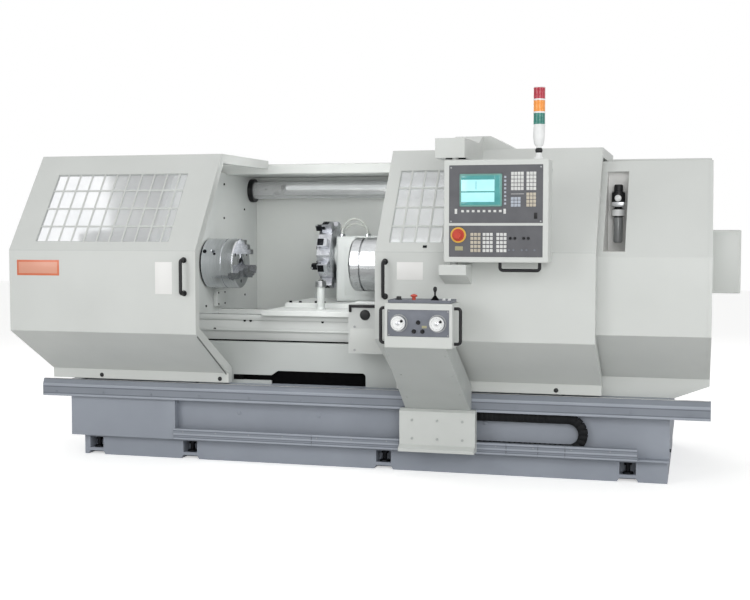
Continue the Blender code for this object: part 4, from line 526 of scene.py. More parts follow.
def at_places(obj, places, way=None):
    """Copies a shape modelled at the origin to each place, each copy with its own mesh, and joins them."""
    made = []
    for place in places:
        if way:
            place = facing(place, way)
        twin = obj.copy()
        twin.data = obj.data.copy()
        twin.data.transform(place if isinstance(place, Matrix) else Matrix.Translation(place))
        bpy.context.collection.objects.link(twin)
        made.append(twin)
    bpy.data.objects.remove(obj, do_unlink=True)
    return joined(made)


def finish(obj, name, body, material, slot=None, stands_for=()):
    """Names a piece, smooths it, gives it its material and body; its slot is not used."""
    work_on(obj)
    bpy.ops.object.shade_smooth_by_angle(angle=SMOOTH_BELOW)
    obj.name = name
    obj.data.name = name
    obj.data.materials.clear()
    obj.data.materials.append(material)
    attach(obj, body)
    if stands_for:
        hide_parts(*stands_for)
    return obj


def plates(name, body, material, edge, *corners, **more):
    """A piece of one or more boxes, each given by its two corners."""
    return finish(joined([block(low, high, edge) for low, high in corners]), name, body, material, **more)


def turned(name, body, material, outline, centre, axis="Z", sides=32, **more):
    """A piece turned from an outline round an axis."""
    return finish(spun(outline, centre, axis, sides), name, body, material, **more)


def screws(name, body, material, radius, height, places, way=None, **more):
    """Socket screws at a list of places, with their heads pointing one way."""
    return finish(at_places(socket_screw(radius, height), places, way), name, body, material, **more)


def turned_copies(name, body, material, outline, places, way=None, sides=24, **more):
    """Copies of a shape turned from an outline, standing at a list of places."""
    return finish(at_places(spun(outline, (0, 0, 0), "Z", sides), places, way), name, body, material, **more)


def on_circle(x, radius, turn, centre=(0, SPINDLE_HEIGHT)):
    """A place at a radius and turn round an axis along X, which passes a (y, z) centre."""
    return (x, centre[0] + radius * math.cos(turn), centre[1] + radius * math.sin(turn))


def middle_of(low, high, axis):
    """The middle of a box along one axis."""
    return (low[axis] + high[axis]) / 2


def door_windows():
    """Bars of the doors' skins in front of the windows, and the strip round each pane."""
    wide = 0.004
    for side, columns in WINDOW_COLUMNS.items():
        low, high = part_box(f"{side}_door_window")
        left, right = low[0], high[0]
        bars = [block((x - BAR_HALF, WINDOW_FOOT, -0.0068), (x + BAR_HALF, WINDOW_HEAD, -0.0012), 0.0012)
                for x in columns if left < x < right]
        bars += [block((left, rise - BAR_HALF, -0.0067), (right, rise + BAR_HALF, -0.0014), 0.0012)
                 for rise in WINDOW_ROWS]
        strips = [block((left, WINDOW_FOOT, -0.0066), (left + wide, WINDOW_HEAD, -0.002)),
                  block((right - wide, WINDOW_FOOT, -0.0066), (right, WINDOW_HEAD, -0.002)),
                  block((left, WINDOW_FOOT, -0.0065), (right, WINDOW_FOOT + wide, -0.002)),
                  block((left, WINDOW_HEAD - wide, -0.0065), (right, WINDOW_HEAD, -0.002))]
        for part, shapes, material in (("bars", bars, COVER_PAINT), ("seal", strips, SHADE_PAINT)):
            piece = joined(shapes)
            piece.data.transform(ON_SLOPE)
            finish(piece, f"{side}_window_{part}", f"{side}_door", material)


def door_plates():
    """Plain plates on the doors' fronts."""
    front = DOOR_FRONT
    plates("left_door_plate", "left_door", ORANGE_PLATE, 0.0008,
           ((-1.768, front - 0.0016, 1.073), (-1.512, front + 0.0002, 1.157)))
    plates("left_door_plate_field", "left_door", PALE_ORANGE, 0.0003,
           ((-1.757, front - 0.0020, 1.084), (-1.523, front - 0.0014, 1.146)))
    plates("left_door_blank_plate", "left_door", WHITE_PLATE, 0.0006,
           ((-0.946, front - 0.0014, 0.981), (-0.849, front + 0.0002, 1.151)))
    plates("right_door_plate", "right_door", WHITE_PLATE, 0.0006,
           ((0.376, front - 0.0014, 1.071), (0.51, front + 0.0002, 1.16)))


def door_hardware():
    """Handle feet, plugs in the lower strips, latch, and black strips of painted shade in the gaps under the
    panel's arm.
    """
    washer = [(0, -0.001), (0.0155, -0.001), (0.0155, 0.003), (0.012, 0.005), (0.0095, 0.005)]
    foot_inset = 0.009
    for side in ("left", "right"):
        low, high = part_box(f"{side}_door_handle")
        places = [(middle_of(low, high, 0), DOOR_FRONT - 0.0005, z)
                  for z in (high[2] - foot_inset, low[2] + foot_inset)]
        turned_copies(f"{side}_handle_feet", f"{side}_door", BLACK_PLASTIC, washer, places, FRONT, 32)
    plug = [(0, 0.006), (0.006, 0.006), (0.0105, 0.004), (0.0125, 0), (0.0125, -0.001), (0, -0.001)]
    for side, spots in (("left", (-1.505, -0.769)), ("right", (0.39, 1.125))):
        turned_copies(f"{side}_strip_plugs", f"{side}_door", BLACK_PLASTIC, plug,
                      [(x, -0.394, 0.478) for x in spots], FRONT, 32)
    latch = block((0.505, 0.024, -0.0008), (0.526, 0.038, 0.0032), 0.0012)
    latch.data.transform(ON_SLOPE)
    finish(latch, "right_door_latch", "right_door", BLACK_OXIDE)
    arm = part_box("panel_arm")[0][1]
    # painted shade in the gaps under the panel's arm
    plates("arm_gap_painted_shade", "right_door", RUBBER_AND_SHADE_BLACK, 0.0004,
           *[((left, arm - 0.0010, 1.6605), (right, arm + 0.0005, 1.6675))
             for left, right in ((0.652, 0.685), (0.716, 0.752))])


def door_seams():
    """A dark grey strip down the left door's open end, painted shade where the door's hollow lies, and the
    thin painted shadows where the doors' sheets meet.
    """
    left_door_end = -0.7155
    outline = [(-0.829, 0.762), (-0.8235, 0.757), (-0.4255, 0.5145), (-0.4285, 0.505), (-0.8315, 0.7515)]
    # painted shade on the door's end, where its hollow lies
    finish(strip_on_end(outline, left_door_end, 0.0012), "left_door_end_painted_shade", "left_door", HOLLOW_SHADE_GREY)
    front, door_length, inset = DOOR_FRONT, 1.1, 0.004
    for side, left in (("left", -1.816), ("right", 0.261)):
        right = left + door_length
        plates(f"{side}_door_folds", f"{side}_door", SHADE_PAINT, 0.0002,
               *[((left + inset, front - 0.0006, z), (right - inset, front + 0.0004, z + 0.0015))
                 for z in (0.7690, 1.2095)], slot="shade_paint")


def key_pad(name, corner, count, pitch, size, front, material):
    """A grid of raised key caps, modelled once and copied."""
    cap = block((-size[0] / 2, -0.0018, -size[1] / 2), (size[0] / 2, 0, size[1] / 2), 0.0012)
    places = [(corner[0] + pitch[0] * (i % count[0]), front, corner[1] - pitch[1] * (i // count[0]))
              for i in range(count[0] * count[1])]
    return finish(at_places(cap, places), name, "panel", material)


def display():
    """The lit picture, its bands and the rim of the display."""
    low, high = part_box("screen")
    front = low[1]
    inset, rim = 0.008, 0.004
    left, bottom, right, top = low[0] + inset, low[2] + inset, high[0] - inset, high[2] - inset
    height = top - bottom
    plates("display_picture", "panel", DISPLAY_LIGHT, 0.0003,
           ((left, front - 0.0006, bottom), (right, front + 0.0003, top)))
    plates("display_bands", "panel", DISPLAY_BAND, 0.0002,
           ((left, front - 0.0009, top - height * 0.14), (right, front - 0.0005, top)),
           ((left, front - 0.0009, bottom + height * 0.42), (right, front - 0.0005, bottom + height * 0.47)),
           ((left, front - 0.0009, bottom), (right, front - 0.0005, bottom + height * 0.1)),
           ((right - 0.028, front - 0.0010, bottom), (right, front - 0.0005, top)),
           ((left + 0.07, front - 0.0010, bottom + height * 0.52),
            (left + 0.073, front - 0.0005, top - height * 0.2)))
    proud = front - 0.0012
    plates("display_rim", "panel", DISPLAY_EDGE, 0.0006,
           ((low[0], proud, high[2] - rim), (high[0], front, high[2])),
           ((low[0], proud, low[2]), (high[0], front, low[2] + rim)),
           ((low[0], proud, low[2]), (low[0] + rim, front, high[2])),
           ((high[0] - rim, proud, low[2]), (high[0], front, high[2])))


def upper_panel():
    """Keys, card slot and screws round the display."""
    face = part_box("screen_panel")[0][1]
    key_pad("soft_keys_side", (0.9488, 1.572), (1, 8), (0, 0.018), (0.010, 0.010), face, KEY_LILAC)
    key_pad("soft_keys_under", (0.744, 1.411), (8, 1), (0.026, 0), (0.013, 0.011), face, KEY_WHITE)
    key_pad("page_keys", (0.712, 1.410), (2, 1), (0.235, 0), (0.012, 0.024), face, KEY_WHITE)
    key_pad("letter_keys", (0.983, 1.588), (4, 5), (0.0155, 0.0178), (0.0132, 0.0152), face, KEY_WHITE)
    key_pad("number_keys", (1.0565, 1.588), (3, 5), (0.0160, 0.0178), (0.0136, 0.0152), face, KEY_WHITE)
    key_pad("cursor_keys", (0.983, 1.470), (3, 3), (0.0160, 0.0160), (0.0138, 0.0136), face, KEY_LILAC)
    key_pad("edit_keys", (1.0565, 1.490), (3, 4), (0.0158, 0.0170), (0.0134, 0.0144), face, KEY_BEIGE)
    plates("key_rule", "panel", KEY_WHITE, 0.0004,
           ((0.976, face - 0.0008, 1.4905), (1.038, face + 0.0002, 1.4925)))
    plates("card_slot", "panel", BLACK_PLASTIC, 0.002,
           ((1.086, face - 0.0022, 1.374), (1.102, face, 1.403)))
    screws("panel_screws", "panel", GROUND_STEEL, 0.004, 0.002,
           [(x, face, z) for x in (0.688, 1.118) for z in (1.362, 1.618)], FRONT)


def lower_panel():
    """The stop button's ring and plate, machine keys, knobs and lights under the display."""
    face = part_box("key_panel")[0][1]
    stop_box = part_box("emergency_stop")
    stop_x, stop_z = middle_of(*stop_box, 0), middle_of(*stop_box, 2)
    ring = [(0.0205, 0.0), (0.0375, 0.0), (0.0375, 0.0035), (0.035, 0.0055), (0.0205, 0.0055), (0.0205, 0.0)]
    turned("stop_button_ring", "panel", YELLOW_PLASTIC, ring, (stop_x, face, stop_z), "Y", 40)
    for number, x in enumerate((0.790, 0.849, 0.915), start=1):
        key_pad(f"machine_keys_{number}", (x, stop_z + 0.003), (3, 5), (0.0172, 0.0192), (0.0138, 0.0144),
                face, KEY_BEIGE if number == 1 else KEY_WHITE)
    knob = [(0, 0.011), (0.0042, 0.011), (0.005, 0.0095), (0.0056, 0.002), (0.007, 0), (0.007, -0.0008),
            (0, -0.0008)]
    turned_copies("override_knobs", "panel", BLACK_PLASTIC, knob,
                  [(x, face, stop_z - 0.015) for x in (0.974, 0.996, 1.038, 1.060)], FRONT)
    dot = [(0, 0.003), (0.0042, 0.003), (0.0052, 0.002), (0.0052, -0.0005), (0, -0.0005)]
    turned_copies("indicator_lights", "panel", CONSOLE_GREY, dot,
                  [(x, face, stop_z - 0.071) for x in (0.968, 0.99, 1.03, 1.052, 1.09)], FRONT, 20,
                  slot="panel_grey")
    plates("stop_button_plate", "panel", PALE_BRASS, 0.0006,
           ((stop_x - 0.016, face - 0.0012, stop_z - 0.074), (stop_x + 0.022, face, stop_z - 0.054)))


def signal_lamps():
    """The signal lamp stack: three ribbed lenses on a white base with a black joint."""
    low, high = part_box("lamp_stack")
    centre = (middle_of(low, high, 0), middle_of(low, high, 1), 0)
    radius = (high[0] - low[0]) / 2
    top = high[2]
    lens_height, gap, ribs = 0.054, 0.006, 9
    lenses = (("red", LENS_RED), ("amber", LENS_AMBER), ("green", LENS_GREEN))
    for number, (name, material) in enumerate(lenses):
        start = top - 0.003 - number * (lens_height + gap)
        end = start - lens_height
        outline = [(0, start), (radius - 0.003, start)]
        for i in range(ribs):
            z = start - lens_height * (i + 0.5) / ribs
            outline += [(radius - 0.0006, z + 0.0022), (radius - 0.0006, z - 0.0008),
                        (radius - 0.0018, z - 0.0024)]
        outline += [(radius - 0.003, end), (0, end)]
        turned(f"signal_lens_{name}", "panel", material, outline, centre, "Z", 40,
               stands_for=("lamp_stack",) if number == 0 else ())
        ring = [(0, end + 0.001), (radius - 0.001, end + 0.001), (radius - 0.0002, end),
                (radius - 0.0002, end - gap), (radius - 0.001, end - gap - 0.001), (0, end - gap - 0.001)]
        turned(f"signal_ring_{name}", "panel", WHITE_PLASTIC, ring, centre, "Z", 40)
    cap = [(0, top), (radius - 0.004, top), (radius - 0.001, top - 0.0025), (radius - 0.001, top - 0.004),
           (0, top - 0.004)]
    turned("signal_cap", "panel", WHITE_PLASTIC, cap, centre, "Z", 40)
    start = top - 3 * (lens_height + gap) - 0.002
    base = [(0, start), (radius - 0.001, start), (radius - 0.001, start - 0.05),
            (radius - 0.006, start - 0.085), (radius - 0.011, start - 0.095), (0, start - 0.095)]
    turned("signal_base", "panel", WHITE_PLASTIC, base, centre, "Z", 40)
    ball_z, ball_radius = low[2] + 0.042, 0.0175
    arc = [math.pi * i / 10 for i in range(11)]
    ball = [(ball_radius * math.sin(turn), ball_radius * math.cos(turn)) for turn in arc]
    turned("signal_joint", "panel", BLACK_PLASTIC, ball, (centre[0], centre[1], ball_z))
    post = [(0, start - 0.09), (0.0125, start - 0.09), (0.0125, ball_z), (0.016, low[2] + 0.012),
            (0.022, low[2] + 0.006), (0.022, low[2]), (0, low[2])]
    turned("signal_post", "panel", WHITE_PLASTIC, post, centre)


def handwheel(side, face):
    """A turned handwheel with its marks, hub and grip, and the collar on the console behind it."""
    low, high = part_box(f"handwheel_{side}")
    # drawn 9 mm shorter than its node, so that its grip stays inside the node's reach
    x, y, z = middle_of(low, high, 0), low[1] + 0.009, middle_of(low, high, 2)
    body = f"{side}_wheel"
    wheel = [(0, 0.0005), (0.0125, 0.0005), (0.0145, -0.0006), (0.0215, -0.0006), (0.0225, 0), (0.0315, 0),
             (0.034, -0.0008), (0.035, -0.003), (0.035, -0.012), (0.0335, -0.0145), (0.015, -0.0165),
             (0.0125, -0.019), (0.0125, -0.027), (0, -0.027)]
    turned(f"handwheel_{side}_turned", body, WHITE_PLASTIC, wheel, (x, y, z), "Y", 48,
           stands_for=(f"handwheel_{side}",))
    tick = block((-0.0006, -0.0006, 0.024), (0.0006, 0.0004, 0.0295), 0.0002)
    middle = Matrix.Translation((x, y + 0.0005, z))
    ticks = at_places(tick, [middle @ Matrix.Rotation(math.pi / 12 * i, 4, "Y") for i in range(24)])
    finish(ticks, f"dial_marks_{side}", body, PANEL_GREY)
    hub = [(0, 0.0035), (0.006, 0.0035), (0.0095, 0.0015), (0.010, -0.0005), (0, -0.0005)]
    turned(f"dial_hub_{side}", body, TURNED_STEEL, hub, (x, y, z), "Y")
    grip = [(0, 0.0088), (0.0045, 0.0088), (0.0058, 0.0073), (0.0056, 0.002), (0.0066, 0), (0, 0)]
    turned(f"dial_grip_{side}", body, BLACK_PLASTIC, grip, (x + 0.019, y, z + 0.011), "Y", 20)
    collar = [(0.0365, 0.0015), (0.0425, 0.0015), (0.0435, 0), (0.0365, 0), (0.0365, 0.0015)]
    turned(f"dial_collar_{side}", "console", GROUND_STEEL, collar, (x, face, z), "Y", 40, slot="chrome")


def console_face():
    """Face plate, handwheels, knobs and screws on the console's front."""
    low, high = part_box("console_box")
    face = low[1] + 0.006
    plate = block((low[0] + 0.0155, face - 0.0012, low[2] + 0.0555),
                  (high[0] - 0.0155, face + 0.0002, high[2] - 0.0305), 0.0004)
    for side in ("left", "right"):
        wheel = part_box(f"handwheel_{side}")
        hole = bar(0.015, 0.02, (middle_of(*wheel, 0), face, middle_of(*wheel, 2)), "Y", 0.0001, 32)
        modify(plate, "BOOLEAN", object=hole, operation="DIFFERENCE", solver="EXACT")
        bpy.data.objects.remove(hole, do_unlink=True)
    finish(plate, "console_face_plate", "console", CONSOLE_GREY)
    face -= 0.001
    handwheel("left", face)
    handwheel("right", face)
    knob = [(0, 0.016), (0.0065, 0.016), (0.008, 0.014), (0.0085, 0.003), (0.011, 0), (0.011, -0.0005),
            (0, -0.0005)]
    turned_copies("console_knobs", "console", BLACK_PLASTIC, knob,
                  [(0.547, face, 0.879), (0.526, face, 0.836), (0.568, face, 0.836)], FRONT)
    plates("console_tag", "console", PALE_BRASS, 0.0003,
           ((0.565, face - 0.0008, 0.852), (0.589, face + 0.0002, 0.864)))
    screws("console_face_screws", "console", GROUND_STEEL, 0.0035, 0.002,
           [(x, face, z) for x in (low[0] + 0.022, high[0] - 0.022) for z in (0.818, 0.932)], FRONT)


def console_tray():
    """Lip, selector, stop button, joystick and push buttons on the console's tray."""
    low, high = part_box("console_tray")
    top, rim = high[2], 0.004
    plates("tray_lip", "console", CONSOLE_GREY, 0.001,
           ((low[0], low[1], top - 0.001), (high[0], low[1] + rim, top + 0.003)),
           ((low[0], high[1] - rim, top - 0.001), (high[0], high[1], top + 0.003)),
           ((low[0], low[1], top - 0.001), (low[0] + rim, high[1], top + 0.003)),
           ((high[0] - rim, low[1], top - 0.001), (high[0], high[1], top + 0.003)))
    y = -1.03
    selector = [(0, 0.017), (0.010, 0.017), (0.012, 0.015), (0.013, 0.004), (0.017, 0.002), (0.017, -0.001),
                (0, -0.001)]
    turned("tray_selector", "console", BLACK_PLASTIC, selector, (0.431, y, top), "Z", 28)
    mushroom = [(0, 0.029), (0.009, 0.028), (0.0155, 0.024), (0.017, 0.019), (0.015, 0.016), (0.009, 0.014),
                (0.009, -0.001), (0, -0.001)]
    turned("tray_stop_button", "console", RED_PLASTIC, mushroom, (0.506, y, top))
    boot = [(0, 0.022), (0.006, 0.022), (0.0085, 0.018), (0.0085, 0.016), (0.012, 0.014), (0.012, 0.011),
            (0.016, 0.009), (0.016, 0.006), (0.020, 0.003), (0.021, -0.001), (0, -0.001)]
    turned("joystick_boot", "console", RUBBER_AND_SHADE_BLACK, boot, (0.611, y, top), "Z", 28)
    stick = [(0, 0.066), (0.0055, 0.065), (0.009, 0.059), (0.0095, 0.050), (0.007, 0.043), (0.0045, 0.038),
             (0.0042, 0.018), (0, 0.018)]
    turned("joystick", "console", BLACK_PLASTIC, stick, (0.611, y, top), "Z", 28)
    button = [(0, 0.009), (0.006, 0.009), (0.0075, 0.0075), (0.0075, 0.002), (0.010, 0), (0.010, -0.001),
              (0, -0.001)]
    turned_copies("tray_buttons", "console", WHITE_PLASTIC, button, [(0.655, y, top), (0.682, y, top)])


def console_stand():
    """Screws in the console's foot and column."""
    foot_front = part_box("console_foot")[0][1] + 0.030
    screws("console_foot_screws", "console", SHADE_PAINT, 0.007, 0.004,
           [(x, foot_front, z) for x in (0.366, 0.503, 0.640) for z in (0.302, 0.203)], FRONT, slot="steel")
    # the column's front slopes from (y, z) at its top by so much in and down to the foot
    top_y, top_z = -1.10, 0.755
    inwards, down = 0.6504, 0.3925
    spots = ((0.392, 0.589), (0.655, 0.589), (0.362, 0.44), (0.655, 0.47), (0.38, 0.71), (0.66, 0.71))
    places = [(x, top_y + (top_z - z) * inwards / down, z) for x, z in spots]
    screws("console_column_screws", "console", SHADE_PAINT, 0.0055, 0.002, places, (0, -down, -inwards),
           slot="steel")


def cable_chain_links():
    """The cable chain's fine links round its bend, in place of the plain loop."""
    low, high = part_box("cable_chain")
    back, front = high[1] - 0.001, low[1] + 0.001
    half = 0.024
    bend = (high[2] - low[2]) / 2 - half - 0.001
    middle = middle_of(low, high, 2)
    left = low[0] + 0.004
    right = high[0] - half - 0.001 - bend
    run = right - left
    length = 2 * run + math.pi * bend
    count = 64
    pitch = length / count
    plate = block((-pitch * 0.56, -0.0035, -half), (pitch * 0.56, 0.0035, half), 0.003)
    rim = block((-pitch * 0.40, -0.0048, -half * 0.62), (pitch * 0.40, 0.002, half * 0.62), 0.0024)
    side = joined([plate, rim])
    bridges = [block((-pitch * 0.30, front + 0.004, z), (pitch * 0.30, back - 0.004, z + 0.0055), 0.0015)
               for z in (half - 0.006, -half + 0.0005)]
    far = side.copy()
    far.data = side.data.copy()
    bpy.context.collection.objects.link(far)
    side.data.transform(Matrix.Translation((0, front + 0.0042, 0)))
    far.data.transform(Matrix.Translation((0, back - 0.0042, 0)) @ Matrix.Rotation(math.pi, 4, "Z"))
    link = joined([side, far, *bridges])
    places = []
    for number in range(count):
        travelled = (number + 0.5) * pitch
        if travelled < run:
            places.append(Matrix.Translation((left + travelled, 0, middle + bend)))
        elif travelled < run + math.pi * bend:
            turn = (travelled - run) / bend
            round_bend = (right + bend * math.sin(turn), 0, middle + bend * math.cos(turn))
            places.append(Matrix.Translation(round_bend) @ Matrix.Rotation(turn, 4, "Y"))
        else:
            returning = (right - (travelled - run - math.pi * bend), 0, middle - bend)
            places.append(Matrix.Translation(returning) @ Matrix.Rotation(math.pi, 4, "Y"))
    finish(at_places(link, places), "cable_chain_links", "machine", CHAIN_PLASTIC,
           stands_for=("cable_chain",))


def base_fittings():
    """Levelling screws in the foot pockets, and plugs in the base's front."""
    pad = [(0, 0.062), (0.013, 0.062), (0.013, 0.058), (0.021, 0.057), (0.021, 0.047), (0.012, 0.046),
           (0.012, 0.012), (0.026, 0.010), (0.030, 0.004), (0.030, 0), (0, 0)]
    turned_copies("levelling_screws", "machine", BLACK_OXIDE, pad,
                  [(x, -0.297, 0.0383) for x in (-1.574, -0.98, 0.173, 1.496)])
    plug = [(0, 0.003), (0.009, 0.003), (0.012, 0.001), (0.0125, -0.0005), (0, -0.0005)]
    turned_copies("base_plugs", "machine", BASE_PAINT, plug,
                  [(x, -0.336, 0.28) for x in (-0.676, -0.202, 0.74)], FRONT)


def base_end_screws():
    """Screws in the base's right end."""
    end = 1.7083
    screws("base_end_screws", "machine", BLACK_OXIDE, 0.009, 0.006,
           [(end, y, z) for y in (-0.30, 0.9) for z in (0.17, 0.40)], RIGHT)


def track_fittings():
    """Seams, lips in a lighter enamel as painted highlight, grooves in a darker enamel as painted shade, and
    screws of the console's track.
    """
    low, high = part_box("console_track")
    front, inset = low[1], 0.002
    # the console's foot slides 0.3 mm in front of the track, so nothing stands further out than 0.2 mm
    proud = front - 0.0002
    middle = middle_of(low, high, 2)
    plates("track_seams", "machine", BLACK_OXIDE, 0.0001,
           *[((x - 0.001, proud, low[2] + inset), (x + 0.001, front + 0.001, high[2] - inset))
             for x in (-0.22, 0.28, 0.866, 1.035, 1.177)], slot="black_plastic")
    # the lips are a lighter enamel for painted highlight, the grooves a darker one for painted shade
    plates("track_lip_highlights", "machine", LIP_HIGHLIGHT_PAINT, 0.0001,
           *[((low[0] + inset, proud, z), (high[0] - inset, front + 0.0008, z + 0.009))
             for z in (low[2] + 0.002, middle - 0.005, high[2] - 0.011)])
    plates("track_groove_shade", "machine", GROOVE_SHADE_PAINT, 0.0001,
           *[((low[0] + inset, proud, z), (high[0] - inset, front + 0.0006, z + 0.004))
             for z in (low[2] + 0.0115, middle - 0.0095, high[2] - 0.0155)])
    screws("track_screws", "machine", GROUND_STEEL, 0.004, 0.0035,
           [(low[0] + 0.06 + 0.2 * i, front + 0.0033, middle + 0.014) for i in range(13)], FRONT)


def rail_fittings():
    """Lips in a lighter enamel as painted highlight, grooves in a darker enamel as painted shade, running
    strip and screws of the doors' rail.
    """
    low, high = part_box("door_rail")
    front, left, right = low[1], low[0] + 0.002, high[0] - 0.002
    # the lips are a lighter enamel for painted highlight
    lips = [block((left, front - 0.0035, high[2] - 0.043), (right, front + 0.0008, high[2] - 0.027), 0.0016),
            block((left, front - 0.0002, low[2] + 0.001), (right, front + 0.0008, low[2] + 0.012), 0.0001)]
    finish(joined(lips), "rail_lip_highlights", "machine", LIP_HIGHLIGHT_PAINT)
    # the grooves are a darker enamel for painted shade
    plates("rail_groove_shade", "machine", GROOVE_SHADE_PAINT, 0.0001,
           *[((left, front - 0.0002, z), (right, front + 0.0006, z + 0.005))
             for z in (high[2] - 0.049, low[2] + 0.0135)])
    plates("rail_running_strip", "machine", GROUND_STEEL, 0.0006,
           ((low[0] + 0.01, front + 0.006, high[2] - 0.0008),
            (high[0] - 0.01, high[1] - 0.006, high[2] + 0.0012)))
    # no screws where the console's column passes close in front
    column_left, column_right = 0.29, 0.72
    spots = [low[0] + 0.09 + 0.3 * i for i in range(13)]
    screws("rail_screws", "machine", RAIL_PAINT, 0.006, 0.004,
           [(x, front + 0.0002, low[2] + 0.028) for x in spots if not column_left < x < column_right], FRONT)


def work_lamp():
    """The lamp's clear cover with its tube, socket and reflector inside."""
    low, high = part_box("work_lamp")
    left, length = low[0], high[0] - low[0]
    y, z = middle_of(low, high, 1), middle_of(low, high, 2)
    cover = [(0.050, 0), (0.055, 0), (0.055, length), (0.050, length), (0.050, 0)]
    turned("lamp_cover", "machine", LAMP_TUBE, cover, (left, y, z), "X", 40, stands_for=("work_lamp",))
    tube_y, tube_z = y - 0.012, z + 0.016
    tube = [(0, 0), (0.010, 0), (0.013, 0.004), (0.013, 1.49), (0.010, 1.494), (0, 1.494)]
    turned("lamp_tube", "machine", LAMP_GLOW, tube, (-0.755, tube_y, tube_z), "X", 24)
    socket = [(0, 0), (0.019, 0), (0.019, 0.02), (0.015, 0.026), (0, 0.026)]
    turned("lamp_socket", "machine", BLACK_PLASTIC, socket, (-0.782, tube_y, tube_z), "X", 24)
    plates("lamp_reflector", "machine", WHITE_PLATE, 0.001,
           ((left + 0.004, y + 0.012, z - 0.03), (high[0] - 0.004, y + 0.018, z + 0.045)))


def inner_wall_fittings():
    """Screws and spindle seal on the inner left wall."""
    spots = [(0.259, 1.60), (0.254, 1.392), (0.207, 0.67), (-0.04, 0.865), (-0.25, 1.45), (-0.3, 0.8),
             (0.6, 1.45), (0.6, 0.9)]
    screws("inner_wall_screws", "machine", BLACK_OXIDE, 0.007, 0.004,
           [(WALL_FACE, *spot) for spot in spots], RIGHT)
    ring = [(0.112, 0), (0.128, 0), (0.128, 0.004), (0.122, 0.008), (0.112, 0.008), (0.112, 0)]
    turned("spindle_seal_ring", "machine", GROUND_STEEL, ring, (WALL_FACE, 0, SPINDLE_HEIGHT), "X", 48)


def wall_box():
    """Junction box on the inner left wall."""
    plates("wall_junction_box", "machine", CASTING_PAINT, 0.004,
           ((WALL_FACE - 0.0005, 0.075, 0.856), (WALL_FACE + 0.028, 0.205, 0.952)))
    screws("wall_box_screws", "machine", BLACK_OXIDE, 0.006, 0.003,
           [(WALL_FACE + 0.0278, y, z) for y in (0.09, 0.19) for z in (0.87, 0.938)], RIGHT)


def chip_mouth_shading():
    """A black sheet behind the chip channel's mouth as painted shade, and a black strip at the slot's left
    end.
    """
    # painted shade: a black sheet behind the mouth, where the channel is dark
    plates("chip_mouth_painted_shade", "machine", RUBBER_AND_SHADE_BLACK, 0.001, ((-0.69, -0.296, 0.4503), (0.09, -0.290, 0.60)))
    plates("chip_slot_black_strip", "machine", RUBBER_AND_SHADE_BLACK, 0.001, ((-0.712, -0.3262, 0.4700), (-0.652, -0.3236, 0.4992)))


def bed_edges():
    """Lips along the bed's front, and grooves as strips of darker paint for painted shade."""
    low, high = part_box("bed")
    front, top = low[1], high[2]
    left, right = -0.9985, 1.69
    plates("bed_lips", "machine", CASTING_PAINT, 0.0015,
           *[((left, front - 0.0040, z), (right, front + 0.001, z + tall))
             for z, tall in ((top - 0.030, 0.029), (0.742, 0.008))])
    # painted shade: the grooves are flat strips of darker paint
    plates("bed_groove_shade", "machine", SHADE_PAINT, 0.0003,
           *[((left, front - 0.0010, z), (right, front + 0.0005, z + 0.003))
             for z in (top - 0.0335, 0.7385)])


def bed_fittings():
    """A black strip of painted shadow in the gap under the bed's slope, screws and ways of the bed."""
    low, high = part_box("bed")
    front, top = low[1], high[2]
    # painted shadow: a black strip in the gap under the bed's slope
    plates("bed_gap_painted_shadow", "machine", RUBBER_AND_SHADE_BLACK, 0.0015,
           ((-0.995, front - 0.0045, 0.684), (0.02, front + 0.001, 0.6915)))
    spots = [(-0.667, 0.802), (-0.631, 0.802), (-0.2, 0.802), (0.02, 0.802), (-0.851, 0.75)]
    screws("bed_screws", "machine", BLACK_OXIDE, 0.0075, 0.004,
           [(x, front + 0.0002, z) for x, z in spots], FRONT)
    plates("bed_ways", "machine", GROUND_STEEL, 0.0002,
           *[((-0.998, y, top - 0.0008), (1.698, y + 0.062, top + 0.0002))
             for y in (front + 0.004, high[1] - 0.066)])


def chuck_fittings():
    """Screws and rings of the chuck and its jaws."""
    low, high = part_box("chuck")
    face, rim = high[0], (high[1] - low[1]) / 2
    jaw_turns = [math.pi / 2 - 2 * math.pi * number / 3 for number in range(3)]
    between = [turn + math.pi / 3 for turn in jaw_turns]

    def radial(x, turns):
        """Places on the chuck's rim, facing outwards."""
        return [facing(on_circle(x, rim, turn), (0, math.cos(turn), math.sin(turn))) for turn in turns]

    screws("chuck_face_screws", "spindle", BLACK_OXIDE, 0.0095, 0.008,
           [on_circle(face - 0.0118, 0.105, turn) for turn in between], RIGHT)
    line = [(0.0594, 0), (0.0606, 0), (0.0606, 0.0003), (0.0594, 0.0003), (0.0594, 0)]
    turned("chuck_face_line", "spindle", BLACK_OXIDE, line, (face, 0, SPINDLE_HEIGHT), "X", 64)
    back = [(0.1005, 0), (0.140, 0), (0.140, 0.004), (0.1005, 0.004), (0.1005, 0)]
    turned("chuck_back_ring", "spindle", BLACK_OXIDE, back, (low[0] + 0.0255, 0, SPINDLE_HEIGHT), "X", 64,
           slot="chrome")
    key_turns = [math.pi * (0.2 + 2 * i / 3) for i in range(3)]
    screws("chuck_key_rims", "spindle", BLACK_OXIDE, 0.008, 0.0012, radial(low[0] + 0.115, key_turns))
    screws("chuck_body_screws", "spindle", BLACK_OXIDE, 0.012, 0.0014, radial(low[0] + 0.052, between))
    for number, turn in enumerate(jaw_turns, start=1):
        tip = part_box(f"chuck_jaw_{number}")[1][0]
        places = [on_circle(tip - 0.0598, 0.1285, turn), on_circle(tip - 0.0399, 0.098, turn)]
        screws(f"jaw_screws_{number}", f"jaw_{number}", BLACK_OXIDE, 0.0075, 0.003, places, RIGHT)


